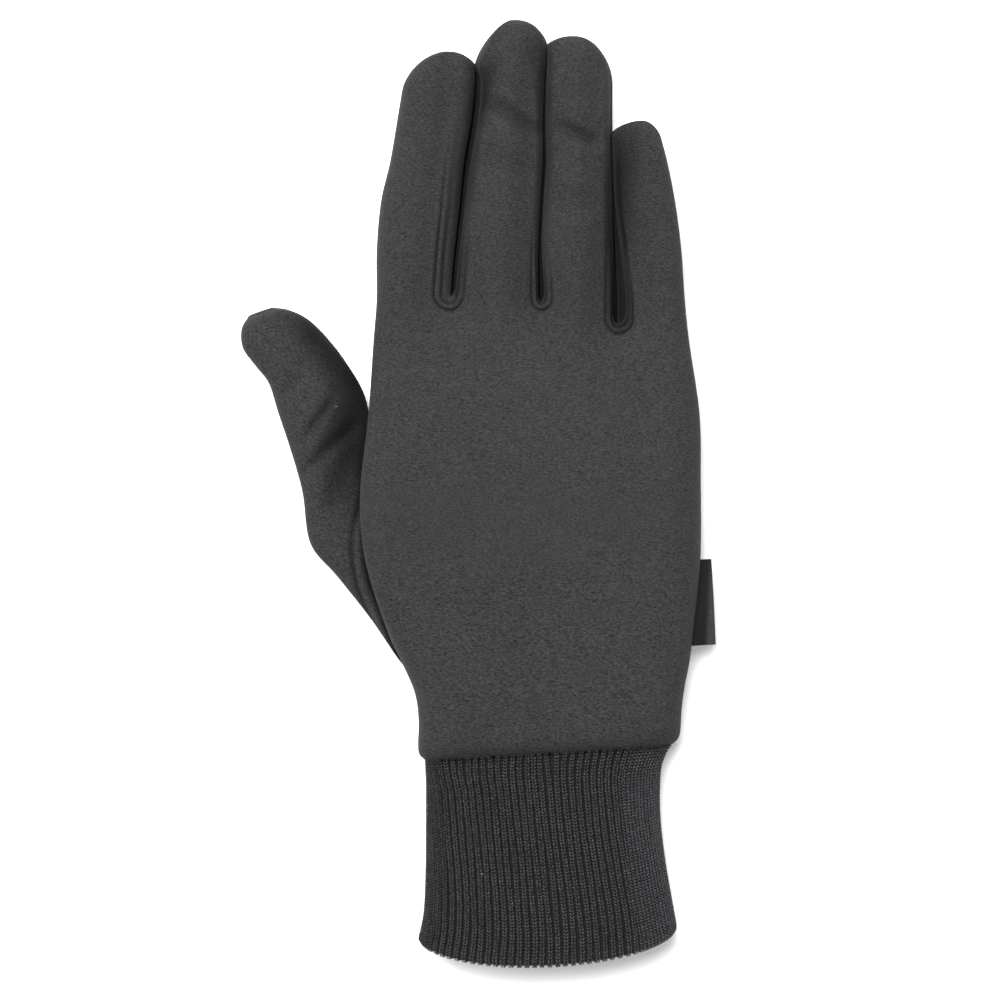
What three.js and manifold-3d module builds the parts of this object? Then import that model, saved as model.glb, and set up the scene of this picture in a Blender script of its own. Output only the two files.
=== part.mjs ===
// A right-hand knitted glove liner, lying palm down and softly filled, seen with its back upwards.
// Millimetres. +X points to the little finger, +Y to the fingertips and +Z up from the surface it lies on.
// The origin is on that surface, under the middle of the palm.
import * as THREE from 'three';
import Module from 'manifold-3d';

const wasm = await Module();
wasm.setup();

// Driving sizes of the hand
const handLength = 205;
const palmWidth = 95;
const palmThickness = 20;
const fingerThickness = 15;
const wristThickness = 16;
const palmCentre = 0.29;
const clothWall = 1.2;
const seamGap = 0.3;

// Driving sizes of the thumb
const thumbThickness = 13.5;
const thumbReach = 36;
const thumbTuck = 10.5;
const thumbOpening = 0.262;

// Driving sizes of the knitted cuff
const cuffLength = 51.2;
const cuffWall = 2.4;
const cuffInset = 0.5;
const hemSag = 9.2;
const hemThickness = 18;
const ribCount = 88;
const ribDepth = 0.55;
const ribTwist = 4;
const wristTilt = 0.061;

// Driving sizes of the side label
const labelLength = 24;
const labelReach = 9.5;
const labelTape = 0.5;
const labelFold = 0.5;
const labelTurn = 3;

// How the cloth rounds over at its edges and dips beside its seams
const palmRoll = 12;
const fingerRoll = 7;
const seamDip = 3.2;
const seamDipWidth = 5;
const crownPower = 2.3;
const slopeWidth = 0.24;

// Outer edges of the hand, as shares of the hand's length and the palm's width
const outerEdges = [
  { along: 0.0, left: -0.328, right: 0.404 },
  { along: 0.006, left: -0.341, right: 0.42 },
  { along: 0.017, left: -0.345, right: 0.428 },
  { along: 0.05, left: -0.343, right: 0.432 },
  { along: 0.085, left: -0.354, right: 0.441 },
  { along: 0.122, left: -0.389, right: 0.455 },
  { along: 0.158, left: -0.427, right: 0.464 },
  { along: 0.249, left: -0.491, right: 0.485 },
  { along: 0.304, left: -0.51, right: 0.489 },
  { along: 0.362, left: -0.512, right: 0.488 },
  { along: 0.46, left: -0.489, right: 0.485 },
  { along: 0.563, left: -0.475, right: 0.454 },
  { along: 0.617, left: -0.467, right: 0.442 },
  { along: 0.686, left: -0.467, right: 0.432 },
  { along: 0.754, left: -0.454, right: 0.413 },
  { along: 0.808, left: -0.427, right: 0.39 },
  { along: 0.863, left: -0.407, right: 0.36 },
  { along: 0.918, left: -0.388, right: 0.34 },
  { along: 0.958, left: -0.377, right: 0.33 },
];

// Edges of the fingers that face a neighbour, as the same shares
const innerEdges = [
  { along: 0.571, indexRight: -0.255, middleLeft: -0.236, middleRight: 0.009, ringLeft: 0.03, ringRight: 0.228, littleLeft: 0.274 },
  { along: 0.617, indexRight: -0.253, middleLeft: -0.23, middleRight: 0.009, ringLeft: 0.0295, ringRight: 0.228, littleLeft: 0.271 },
  { along: 0.686, indexRight: -0.236, middleLeft: -0.2225, middleRight: 0.01, ringLeft: 0.019, ringRight: 0.23, littleLeft: 0.256 },
  { along: 0.754, indexRight: -0.229, middleLeft: -0.2195, middleRight: 0.015, ringLeft: 0.0225, ringRight: 0.227, littleLeft: 0.236 },
  { along: 0.808, indexRight: -0.217, middleLeft: -0.206, middleRight: 0.027, ringLeft: 0.0345, ringRight: 0.224, littleLeft: 0.232 },
  { along: 0.863, indexRight: -0.197, middleLeft: -0.186, middleRight: 0.0305, ringLeft: 0.038, ringRight: 0.221, littleLeft: 0.232 },
  { along: 0.918, indexRight: -0.181, middleLeft: -0.168, middleRight: 0.0305, ringLeft: 0.038, ringRight: 0.219, littleLeft: 0.232 },
  { along: 1.0, indexRight: -0.171, middleLeft: -0.153, middleRight: 0.027, ringLeft: 0.034, ringRight: 0.212, littleLeft: 0.232 },
];

// Each finger: where its tip lies, how long its rounded end is and how high it stands.
// The two seams are set in from the finger's sides by shares of the palm's width.
const fingers = [
  { name: 'index', tip: 0.958, apex: -0.256, cap: 0.14, crown: 1.0, leftSeam: 0.07, rightSeam: 0.052 },
  { name: 'middle', tip: 1.0, apex: -0.059, cap: 0.125, crown: 1.04, leftSeam: 0.02, rightSeam: 0.02 },
  { name: 'ring', tip: 0.978, apex: 0.115, cap: 0.105, crown: 1.0, leftSeam: 0.021, rightSeam: 0.021 },
  { name: 'little', tip: 0.862, apex: 0.306, cap: 0.115, crown: 0.88, leftSeam: 0.017, rightSeam: 0.07 },
];

// The foot of the gusset between each finger and the next: its place, the length of its
// rounded end and how far its middle stands up into the gap.
const crotches = [
  { between: 'index_middle', along: 0.603, x: -0.2476, round: 0.047, web: 0.047 },
  { between: 'middle_ring', along: 0.603, x: 0.0177, round: 0.035, web: 0.03 },
  { between: 'ring_little', along: 0.571, x: 0.2446, round: 0.045, web: 0.032 },
];

// Thickness of the whole hand along its length
const crest = [
  { along: 0.0, top: wristThickness },
  { along: 0.03, top: wristThickness * 1.1 },
  { along: 0.15, top: palmThickness * 0.95 },
  { along: 0.3, top: palmThickness },
  { along: 0.45, top: palmThickness * 0.95 },
  { along: 0.57, top: fingerThickness * 1.12 },
  { along: 0.65, top: fingerThickness * 1.02 },
  { along: 0.75, top: fingerThickness },
  { along: 1.0, top: fingerThickness * 0.94 },
];

// How far the index side is propped up by the thumb that it lies on, as a share of the thumb's tuck
const prop = [
  { along: 0.09, lift: 0 },
  { along: 0.15, lift: 0.45 },
  { along: 0.22, lift: 1 },
  { along: 0.49, lift: 1 },
  { along: 0.56, lift: 0.55 },
  { along: 0.64, lift: 0 },
];

// Folds pressed into the cloth: place, turn in degrees, and half length, width and depth.
// Lengths are shares of the palm's width, and depths are shares of the finger's thickness.
const folds = [
  { x: -0.055, along: 0.868, turn: -34, half: 0.07, width: 0.024, depth: 0.075 },
  { x: -0.09, along: 0.812, turn: -18, half: 0.08, width: 0.022, depth: 0.035 },
  { x: 0.125, along: 0.84, turn: -24, half: 0.06, width: 0.024, depth: 0.07 },
  { x: 0.11, along: 0.77, turn: -12, half: 0.07, width: 0.022, depth: 0.035 },
];
const thumbFolds = [
  { x: -0.62, along: 0.455, turn: 55, half: 0.07, width: 0.018, depth: 0.07 },
  { x: -0.595, along: 0.427, turn: 50, half: 0.085, width: 0.018, depth: 0.09 },
];

// Sections of the thumb from its tip to its foot. Each runs between an outer and an inner
// point: X beyond the palm's edge as a share of the thumb's reach, Y as along on the hand.
const thumbSections = [
  { outerX: 0.885, outerAlong: 0.597, innerX: 0.695, innerAlong: 0.609, top: 0.45 },
  { outerX: 0.937, outerAlong: 0.578, innerX: 0.565, innerAlong: 0.605, top: 0.78 },
  { outerX: 0.923, outerAlong: 0.552, innerX: 0.417, innerAlong: 0.592, top: 0.93 },
  { outerX: 0.819, outerAlong: 0.527, innerX: 0.26, innerAlong: 0.565, top: 1.0 },
  { outerX: 0.72, outerAlong: 0.504, innerX: 0.11, innerAlong: 0.53, top: 1.0 },
  { outerX: 0.65, outerAlong: 0.465, innerX: -0.025, innerAlong: 0.487, top: 0.97 },
  { outerX: 0.547, outerAlong: 0.41, innerX: -0.1, innerAlong: 0.426, top: 0.88 },
  { outerX: 0.461, outerAlong: 0.355, innerX: -0.208, innerAlong: 0.358, top: 0.83 },
  { outerX: 0.399, outerAlong: 0.285, innerX: -0.394, innerAlong: 0.283, top: 0.82 },
  { outerX: 0.189, outerAlong: 0.24, innerX: -0.519, innerAlong: 0.215, top: 0.8 },
  { outerX: -0.075, outerAlong: 0.181, innerX: -0.612, innerAlong: 0.165, top: 0.72 },
  { outerX: -0.27, outerAlong: 0.13, innerX: -0.659, innerAlong: 0.126, top: 0.5 },
];

// Sections of the cuff from the wrist seam to the hem, as shares of the wrist's width and the cuff's length
const cuffSections = [
  { down: 0.0, left: -0.5, right: 0.5, top: 0.97 },
  { down: 0.13, left: -0.496, right: 0.46, top: 0.95 },
  { down: 0.35, left: -0.496, right: 0.456, top: 0.94 },
  { down: 0.6, left: -0.497, right: 0.475, top: 0.97 },
  { down: 0.85, left: -0.506, right: 0.506, top: 1.02 },
  { down: 1.0, left: -0.53, right: 0.526, top: 1.06 },
];

// Colours
const shellCloth = new THREE.MeshStandardMaterial({ color: 0x454645, roughness: 0.95, metalness: 0 });
const gussetCloth = new THREE.MeshStandardMaterial({ color: 0x3d3e3d, roughness: 0.95, metalness: 0 });
const cuffKnit = new THREE.MeshStandardMaterial({ color: 0x36373a, roughness: 0.9, metalness: 0 });
const labelSatin = new THREE.MeshStandardMaterial({ color: 0x161616, roughness: 0.5, metalness: 0 });

// Small helpers
const clamp = (v, low, high) => Math.min(high, Math.max(low, v));
const mix = (a, b, t) => a + (b - a) * t;
const yAt = (along) => handLength * (along - palmCentre);

// A smooth curve through one column of a table
function through(table, key, column) {
  return (at) => {
    const last = table.length - 1;
    const v = clamp(at, table[0][key], table[last][key]);
    let i = 0;
    while (i < last - 1 && v > table[i + 1][key]) i += 1;
    const slope = (k) => {
      const a = table[Math.max(0, k - 1)];
      const b = table[Math.min(last, k + 1)];
      return (b[column] - a[column]) / (b[key] - a[key]);
    };
    const [p, q] = [table[i], table[i + 1]];
    const span = q[key] - p[key];
    const t = (v - p[key]) / span;
    const bend = t * t * (3 - 2 * t);
    const start = slope(i) * span * t * (1 - t) * (1 - t);
    const end = slope(i + 1) * span * t * t * (1 - t);
    return mix(p[column], q[column], bend) + start - end;
  };
}

const outerLeft = through(outerEdges, 'along', 'left');
const outerRight = through(outerEdges, 'along', 'right');
const crestHeight = through(crest, 'along', 'top');
const propShare = through(prop, 'along', 'lift');
const sideEdges = fingers.map((finger, i) => ({
  left: i === 0 ? outerLeft : through(innerEdges, 'along', `${finger.name}Left`),
  right: i === fingers.length - 1 ? outerRight : through(innerEdges, 'along', `${finger.name}Right`),
}));

// How open the gap at a crotch is: 0 at its foot and 1 where its rounded end is passed
function opening(crotch, along) {
  const t = clamp(((along - crotch.along) * handLength) / (crotch.round * palmWidth), 0, 1);
  return Math.sqrt(1 - (1 - t) * (1 - t));
}

// The line of a seam beside a crotch. Below the foot it goes on as a plain line to the wrist.
function seamLine(i, side, along) {
  const crotch = crotches[side === 'right' ? i : i - 1];
  const finger = fingers[i];
  if (!crotch) {
    const edge = side === 'left' ? outerLeft(along) : outerRight(along);
    const inset = side === 'left' ? finger.leftSeam : -finger.rightSeam;
    return palmWidth * (edge + inset);
  }
  const atFoot = crotch.x;
  if (along <= crotch.along) {
    const share = (atFoot - outerLeft(crotch.along)) / (outerRight(crotch.along) - outerLeft(crotch.along));
    return palmWidth * mix(outerLeft(along), outerRight(along), share);
  }
  const line = side === 'right'
    ? sideEdges[i].right(along) - finger.rightSeam
    : sideEdges[i].left(along) + finger.leftSeam;
  return palmWidth * mix(atFoot, line, opening(crotch, along));
}

// The seams between the fingers, as short chains of points, for the dip of the cloth beside them
const seamChains = crotches.map((crotch, k) => {
  const steps = [0, 0.002, 0.006, 0.012, 0.023, 0.08, 0.16, 0.24, 0.32];
  const limb = (i, side) => steps.map((s) => {
    const along = crotch.along + s;
    return [seamLine(i, side, along), yAt(along)];
  });
  return [...limb(k, 'right').reverse(), ...limb(k + 1, 'left')];
});

function distanceToChain(x, y, chain) {
  let nearest = Infinity;
  for (let k = 0; k + 1 < chain.length; k += 1) {
    const [ax, ay] = chain[k];
    const [bx, by] = chain[k + 1];
    const reach = (bx - ax) ** 2 + (by - ay) ** 2 || 1;
    const t = clamp(((x - ax) * (bx - ax) + (y - ay) * (by - ay)) / reach, 0, 1);
    nearest = Math.min(nearest, Math.hypot(x - mix(ax, bx, t), y - mix(ay, by, t)));
  }
  return nearest;
}

// Depth of all the folds of a table at a place on the cloth
function foldDepth(table, x, y) {
  let depth = 0;
  for (const fold of table) {
    const turn = THREE.MathUtils.degToRad(fold.turn);
    const dx = x - fold.x * palmWidth;
    const dy = y - yAt(fold.along);
    const lengthwise = (dx * Math.cos(turn) + dy * Math.sin(turn)) / (fold.half * palmWidth);
    const crosswise = (dy * Math.cos(turn) - dx * Math.sin(turn)) / (fold.width * palmWidth);
    depth += fold.depth * fingerThickness * Math.exp(-(crosswise ** 2) - lengthwise ** 4);
  }
  return depth;
}

const liftAt = (along) => thumbTuck * propShare(along);
const rollAt = (along) => mix(palmRoll, fingerRoll, clamp((along - 0.45) / 0.2, 0, 1));

// Height of the widest point of the hand's side
function sideHeight(along, leftSide) {
  const lift = leftSide ? liftAt(along) : 0;
  return lift + 0.48 * (crestHeight(along) - lift);
}

// 0 at the hand's outer edge and 1 where its rounding is over
function rounding(distance, roll) {
  const t = clamp(distance / roll, 0, 1);
  return (1 - (1 - t) ** crownPower) ** (1 / crownPower);
}

const laneCentres = fingers.map((finger, i) => ({
  x: 0.5 * (seamLine(i, 'left', crotches[0].along) + seamLine(i, 'right', crotches[0].along)),
  crown: finger.crown,
}));
const crownAt = through(laneCentres, 'x', 'crown');

// Height of the back of the hand over a place
function topHeight(x, along) {
  const roll = rollAt(along);
  const fromLeft = x - palmWidth * outerLeft(along);
  const fromRight = palmWidth * outerRight(along) - x;
  const leftSide = fromLeft < fromRight;
  const side = sideHeight(along, leftSide);
  const share = clamp((along - 0.3) / 0.25, 0, 1);
  const height = crestHeight(along) * mix(1, crownAt(x), share);
  const edge = rounding(leftSide ? fromLeft : fromRight, roll);
  const y = yAt(along);
  const dips = seamChains.map((chain) => seamDip * Math.exp(-((distanceToChain(x, y, chain) / seamDipWidth) ** 2)));
  return side + (height - side - Math.max(...dips)) * edge - foldDepth(folds, x, y) * edge;
}

// Height of the palm side over a place: flat on the table, but for the side that the thumb props up
function bottomHeight(x, along) {
  const fromLeft = x - palmWidth * outerLeft(along);
  const slope = clamp(fromLeft / (slopeWidth * palmWidth), 0, 1);
  return liftAt(along) * 0.5 * (1 + Math.cos(Math.PI * slope));
}

// The ring of points round one finger, or round several that are still joined.
// Each point names the cloth that lies between it and the next.
const topSteps = 4;
const sideSteps = 4;
const outerSteps = 3;
const bottomSteps = (i) => (i === 0 ? 4 : 2);

function capShare(i, along) {
  const finger = fingers[i];
  const start = finger.tip - (finger.cap * palmWidth) / handLength;
  const t = clamp((along - start) / (finger.tip - start), 0, 1);
  return (1 - t ** 2.4) ** (1 / 2.4);
}

function ring(lanes, along, gussetEnds) {
  const first = lanes[0];
  const last = lanes[lanes.length - 1];
  const points = [];
  const place = (i, x, height, yShift, cloth) => {
    const c = lanes.length === 1 ? capShare(i, along) : 1;
    const finger = fingers[i];
    const side = sideHeight(along, i === 0);
    const apex = finger.apex * palmWidth;
    points.push({ x: mix(apex, x, c), y: yAt(along) + yShift, z: mix(side, height, c), cloth });
  };
  // The rounded outer side of the hand, from the back down to the palm
  const outerSide = (i, leftSide, turnUp) => {
    const seam = seamLine(i, leftSide ? 'left' : 'right', along);
    const edge = palmWidth * (leftSide ? outerLeft(along) : outerRight(along));
    const under = 0.7 * (seam - edge);
    const list = [];
    for (let k = 0; k <= outerSteps; k += 1) {
      const swing = (Math.PI / 2) * (k / outerSteps);
      const x = mix(edge, seam, 1 - Math.sin(swing));
      list.push([x, topHeight(x, along)]);
    }
    for (let k = 1; k <= outerSteps; k += 1) {
      const swing = (Math.PI / 2) * (k / outerSteps);
      const x = edge + under * (1 - Math.cos(swing));
      const low = bottomHeight(edge + under, along);
      list.push([x, mix(sideHeight(along, leftSide), low, Math.sin(swing))]);
    }
    if (turnUp) list.reverse();
    for (const [x, z] of list.slice(0, -1)) place(i, x, z, 0, 'shell');
  };
  // The gusset's side of a finger, from the seam on the back down to the seam on the palm
  const innerSide = (i, side, turnUp) => {
    const k = side === 'right' ? i : i - 1;
    const crotch = crotches[k];
    const seam = seamLine(i, side, along);
    const edge = palmWidth * mix(crotch.x, sideEdges[i][side](along), opening(crotch, along));
    const [low, high] = [bottomHeight(seam, along), topHeight(seam, along)];
    const reach = (along - crotch.along) * handLength;
    const shift = crotch.web * palmWidth * clamp(1 - reach / 20, 0, 1);
    const cloth = gussetEnds ? 'shell' : `gusset_${crotch.between}`;
    const list = [];
    for (let j = 0; j <= sideSteps; j += 1) {
      const turn = Math.PI * (j / sideSteps);
      const z = mix(low, high, 0.5 * (1 + Math.cos(turn)));
      list.push([seam + (edge - seam) * Math.sin(turn), z, shift * Math.sin(turn)]);
    }
    if (turnUp) list.reverse();
    for (const [x, z, s] of list.slice(0, -1)) place(i, x, z, s, cloth);
  };
  if (first === 0) outerSide(0, true, true);
  else innerSide(first, 'left', true);
  for (const i of lanes) {
    for (let k = 0; k < topSteps; k += 1) {
      const x = mix(seamLine(i, 'left', along), seamLine(i, 'right', along), k / topSteps);
      place(i, x, topHeight(x, along), 0, 'shell');
    }
  }
  if (last === fingers.length - 1) outerSide(last, false, false);
  else innerSide(last, 'right', false);
  for (const i of [...lanes].reverse()) {
    const ends = ['right', 'left'].map((side) => {
      const outer = (side === 'left' && i === 0) || (side === 'right' && i === fingers.length - 1);
      const edge = palmWidth * (side === 'left' ? outerLeft(along) : outerRight(along));
      const seam = seamLine(i, side, along);
      return outer ? mix(edge, seam, 0.7) : seam;
    });
    for (let k = 0; k < bottomSteps(i); k += 1) {
      const x = mix(ends[0], ends[1], k / bottomSteps(i));
      place(i, x, bottomHeight(x, along), 0, 'shell');
    }
  }
  return points;
}

// A sheet of cloth: points that are shared where they meet, and faces that name their cloth
class Sheet {
  constructor() {
    this.points = [];
    this.faces = [];
    this.keys = new Map();
  }

  point(p) {
    const key = [p.x, p.y, p.z].map((v) => Math.round(v * 2000)).join(',');
    if (!this.keys.has(key)) {
      this.keys.set(key, this.points.length);
      this.points.push(new THREE.Vector3(p.x, p.y, p.z));
    }
    return this.keys.get(key);
  }

  face(corners, cloth) {
    const used = corners.filter((c, k) => c !== corners[(k + 1) % corners.length]);
    for (let k = 1; k + 1 < used.length; k += 1) this.faces.push({ corners: [used[0], used[k], used[k + 1]], cloth });
  }

  band(lower, upper) {
    for (let k = 0; k < lower.length; k += 1) {
      const next = (k + 1) % lower.length;
      this.face([lower[k], lower[next], upper[next], upper[k]].map((p) => this.point(p)), lower[k].cloth);
    }
  }

  lid(loop, turned, cloth) {
    const centre = { x: 0, y: 0, z: 0 };
    for (const p of loop) for (const axis of ['x', 'y', 'z']) centre[axis] += p[axis] / loop.length;
    for (let k = 0; k < loop.length; k += 1) {
      const pair = [loop[k], loop[(k + 1) % loop.length]];
      if (turned) pair.reverse();
      this.face([centre, ...pair].map((p) => this.point(p)), cloth);
    }
  }

  normals() {
    const sums = this.points.map(() => new THREE.Vector3());
    const [u, v] = [new THREE.Vector3(), new THREE.Vector3()];
    for (const { corners } of this.faces) {
      const [a, b, c] = corners.map((k) => this.points[k]);
      const across = u.subVectors(b, a).cross(v.subVectors(c, a)).clone();
      for (const k of corners) sums[k].add(across);
    }
    return sums.map((n) => n.normalize());
  }

  // Every point moved outwards by a distance, as a closed solid
  solid(outwards) {
    const normals = this.normals();
    const moved = this.points.map((p, k) => p.clone().addScaledVector(normals[k], outwards));
    return toManifold(moved, this.faces.map((f) => f.corners));
  }

  // The faces of one cloth, given their thickness inwards. A seam to another cloth keeps half of the gap.
  cloth(name, wall) {
    const normals = this.normals();
    const own = this.faces.filter((f) => f.cloth === name);
    const others = new Set(this.faces.filter((f) => f.cloth !== name && f.cloth !== 'open').flatMap((f) => f.corners));
    const inwards = new Map();
    for (const { corners } of own) {
      const centre = new THREE.Vector3();
      for (const k of corners) centre.addScaledVector(this.points[k], 1 / 3);
      for (const k of corners) {
        if (!inwards.has(k)) inwards.set(k, new THREE.Vector3());
        inwards.get(k).add(centre).sub(this.points[k]);
      }
    }
    const points = [];
    const index = new Map();
    for (const [k, towards] of inwards) {
      const p = this.points[k].clone();
      if (others.has(k)) {
        towards.addScaledVector(normals[k], -towards.dot(normals[k]));
        p.addScaledVector(towards.normalize(), seamGap / 2);
        p.z = Math.max(p.z, 0);
      }
      index.set(k, points.length);
      points.push(p, p.clone().addScaledVector(normals[k], -wall));
    }
    const edges = new Map();
    const triangles = [];
    for (const { corners } of own) {
      const [a, b, c] = corners.map((k) => index.get(k));
      triangles.push([a, b, c], [a + 1, c + 1, b + 1]);
      for (const [p, q] of [[a, b], [b, c], [c, a]]) edges.set(`${p},${q}`, [p, q]);
    }
    for (const [p, q] of edges.values()) {
      if (!edges.has(`${q},${p}`)) triangles.push([q, p, p + 1], [q, p + 1, q + 1]);
    }
    return toManifold(points, triangles);
  }
}

function toManifold(points, triangles) {
  return new wasm.Manifold(new wasm.Mesh({
    numProp: 3,
    vertProperties: new Float32Array(points.flatMap((p) => [p.x, p.y, p.z])),
    triVerts: new Uint32Array(triangles.flat()),
  }));
}

function toMesh(solid, name, material) {
  const { vertProperties, triVerts } = solid.getMesh();
  const geometry = new THREE.BufferGeometry();
  geometry.setAttribute('position', new THREE.BufferAttribute(new Float32Array(vertProperties), 3));
  geometry.setIndex(new THREE.BufferAttribute(new Uint32Array(triVerts), 1));
  geometry.computeVertexNormals();
  const mesh = new THREE.Mesh(geometry, material);
  mesh.name = name;
  return mesh;
}

// The wrist seam slants a little, so the last rows of the hand slant with it
const wristSlant = (x, along) => wristTilt * x * clamp(1 - along / 0.14, 0, 1);

// The whole outer surface of the hand: palm rows first, then each finger
function handSheet() {
  const sheet = new Sheet();
  const slanted = (row) => row.map((p) => ({ ...p, y: p.y + wristSlant(p.x, p.y / handLength + palmCentre) }));
  const palmRows = [0, 0.006, 0.017, 0.05, 0.09, 0.13, 0.17, 0.22, 0.28, 0.35, 0.42, 0.48, 0.53];
  const footSteps = [0, 0.0015, 0.006, 0.013, 0.022];
  const levels = [...new Set(crotches.map((c) => c.along))].sort((a, b) => a - b);
  const groupsAbove = (level) => {
    const groups = [[0]];
    for (let i = 1; i < fingers.length; i += 1) {
      if (crotches[i - 1].along <= level) groups.push([i]);
      else groups[groups.length - 1].push(i);
    }
    return groups;
  };
  const rowsOf = (lanes, rows, sheetEnds) => rows.map((along) => slanted(ring(lanes, along, sheetEnds)));
  const loft = (rows) => {
    for (let k = 0; k + 1 < rows.length; k += 1) sheet.band(rows[k], rows[k + 1]);
  };
  const palm = rowsOf([0, 1, 2, 3], [...palmRows.filter((a) => a < levels[0] - 0.01), levels[0]], false);
  sheet.lid(palm[0], true, 'open');
  loft(palm);
  levels.forEach((level, k) => {
    const next = levels[k + 1];
    for (const lanes of groupsAbove(level)) {
      const finger = fingers[lanes[0]];
      const foot = footSteps.map((s) => level + s);
      if (next) {
        loft(rowsOf(lanes, [...foot.filter((a) => a < next - 0.002), next], false));
      } else {
        const start = finger.tip - (finger.cap * palmWidth) / handLength;
        const middle = [0.2, 0.4, 0.6, 0.8].map((s) => mix(foot[foot.length - 1], start, s));
        const cap = [0, 0.4, 0.68, 0.87, 0.97].map((s) => mix(start, finger.tip, s));
        loft(rowsOf(lanes, [...foot, ...middle, ...cap.slice(0, 3)], false));
        loft(rowsOf(lanes, cap.slice(2), true));
        sheet.lid(slanted(ring(lanes, cap[cap.length - 1], true)), false, 'shell');
      }
    }
  });
  return sheet;
}

// The thumb: a tube lofted through its sections and closed at both ends
function thumbSheet() {
  const sheet = new Sheet();
  const edge = palmWidth * Math.min(...outerEdges.map((row) => row.left));
  const steps = 16;
  const rows = thumbSections.map((section) => {
    const outer = new THREE.Vector2(edge - section.outerX * thumbReach, yAt(section.outerAlong));
    const inner = new THREE.Vector2(edge - section.innerX * thumbReach, yAt(section.innerAlong));
    const top = section.top * thumbThickness;
    const side = 0.48 * top;
    const row = [];
    for (let k = 0; k < steps; k += 1) {
      const turn = (2 * Math.PI * k) / steps;
      const across = Math.sign(Math.cos(turn)) * Math.abs(Math.cos(turn)) ** 0.85;
      const place = outer.clone().lerp(inner, 0.5 - 0.5 * across);
      const upper = side + (top - side) * Math.abs(Math.sin(turn)) ** 0.85;
      const lower = side - side * Math.min(1, 1.12 * Math.abs(Math.sin(turn)) ** 0.8);
      const fold = foldDepth(thumbFolds, place.x, place.y) * Math.abs(Math.sin(turn));
      row.push({ x: place.x, y: place.y, z: Math.sin(turn) > 0 ? upper - fold : lower, cloth: 'thumb' });
    }
    return row;
  });
  sheet.lid(rows[0], false, 'thumb');
  for (let k = 0; k + 1 < rows.length; k += 1) sheet.band(rows[k + 1], rows[k]);
  sheet.lid(rows[rows.length - 1], true, 'thumb');
  return sheet;
}

// The knitted cuff: a ribbed tube folded double at its hem, drawn row by row round its wall
const wristLeft = palmWidth * outerEdges[0].left + cuffInset;
const wristRight = palmWidth * outerEdges[0].right - cuffInset;
const wristCentre = 0.5 * (wristLeft + wristRight);
const wristWidth = wristRight - wristLeft;
const ribPoints = 2 * ribCount;

function cuffRing(down, inset, ribbed) {
  const at = (column) => through(cuffSections, 'down', column)(down);
  const left = wristCentre + wristWidth * at('left') + inset;
  const right = wristCentre + wristWidth * at('right') - inset;
  const base = inset + ribDepth / 2;
  const top = mix(wristThickness, hemThickness, down) * at('top') - inset;
  const outline = [];
  const fine = 360;
  for (let k = 0; k <= fine; k += 1) {
    const turn = Math.PI - (2 * Math.PI * k) / fine;
    const x = mix(left, right, 0.5 + 0.5 * Math.sign(Math.cos(turn)) * Math.abs(Math.cos(turn)) ** 0.8);
    const swell = Math.abs(Math.sin(turn)) ** 0.8;
    const middle = mix(base, top, 0.46);
    const z = Math.sin(turn) > 0 ? mix(middle, top, swell) : Math.max(base, mix(middle, base, 1.15 * swell));
    outline.push(new THREE.Vector2(x, z));
  }
  const lengths = [0];
  for (let k = 1; k <= fine; k += 1) lengths.push(lengths[k - 1] + outline[k].distanceTo(outline[k - 1]));
  const whole = lengths[fine];
  const points = [];
  for (let k = 0; k < ribPoints; k += 1) {
    const shift = ribTwist * (1 - down) ** 2;
    const want = ((((k / ribPoints) * whole - shift) % whole) + whole) % whole;
    let j = 1;
    while (lengths[j] < want) j += 1;
    const t = (want - lengths[j - 1]) / (lengths[j] - lengths[j - 1]);
    const p = outline[j - 1].clone().lerp(outline[j], t);
    const along = outline[j].clone().sub(outline[j - 1]).normalize();
    const rise = ribbed ? (k % 2 ? 0.5 : -0.5) * ribDepth : 0;
    const upness = clamp((p.y - base) / (top - base), 0, 1);
    const seam = yAt(0) - seamGap + wristTilt * p.x;
    const across = clamp(Math.abs((2 * p.x - left - right) / (right - left)), 0, 1);
    const sag = hemSag * Math.sqrt(upness * (1 - across ** 2));
    const y = mix(seam, yAt(0) - cuffLength + 0.7 * wristTilt * p.x - sag, down);
    points.push({ x: p.x - along.y * rise, y, z: p.y + along.x * rise, cloth: 'cuff' });
  }
  return points;
}

function cuffSolid() {
  const sheet = new Sheet();
  const outer = [0, 0.13, 0.4, 0.8, 0.98].map((down) => cuffRing(down, 0, true));
  const fold = [cuffRing(1, cuffWall * 0.5, true)];
  const inner = [0.98, 0.4, 0].map((down) => cuffRing(down, cuffWall, false));
  const rows = [...outer, ...fold, ...inner];
  rows.forEach((row, k) => sheet.band(rows[(k + 1) % rows.length], row));
  return toManifold(sheet.points, sheet.faces.map((f) => f.corners));
}

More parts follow.
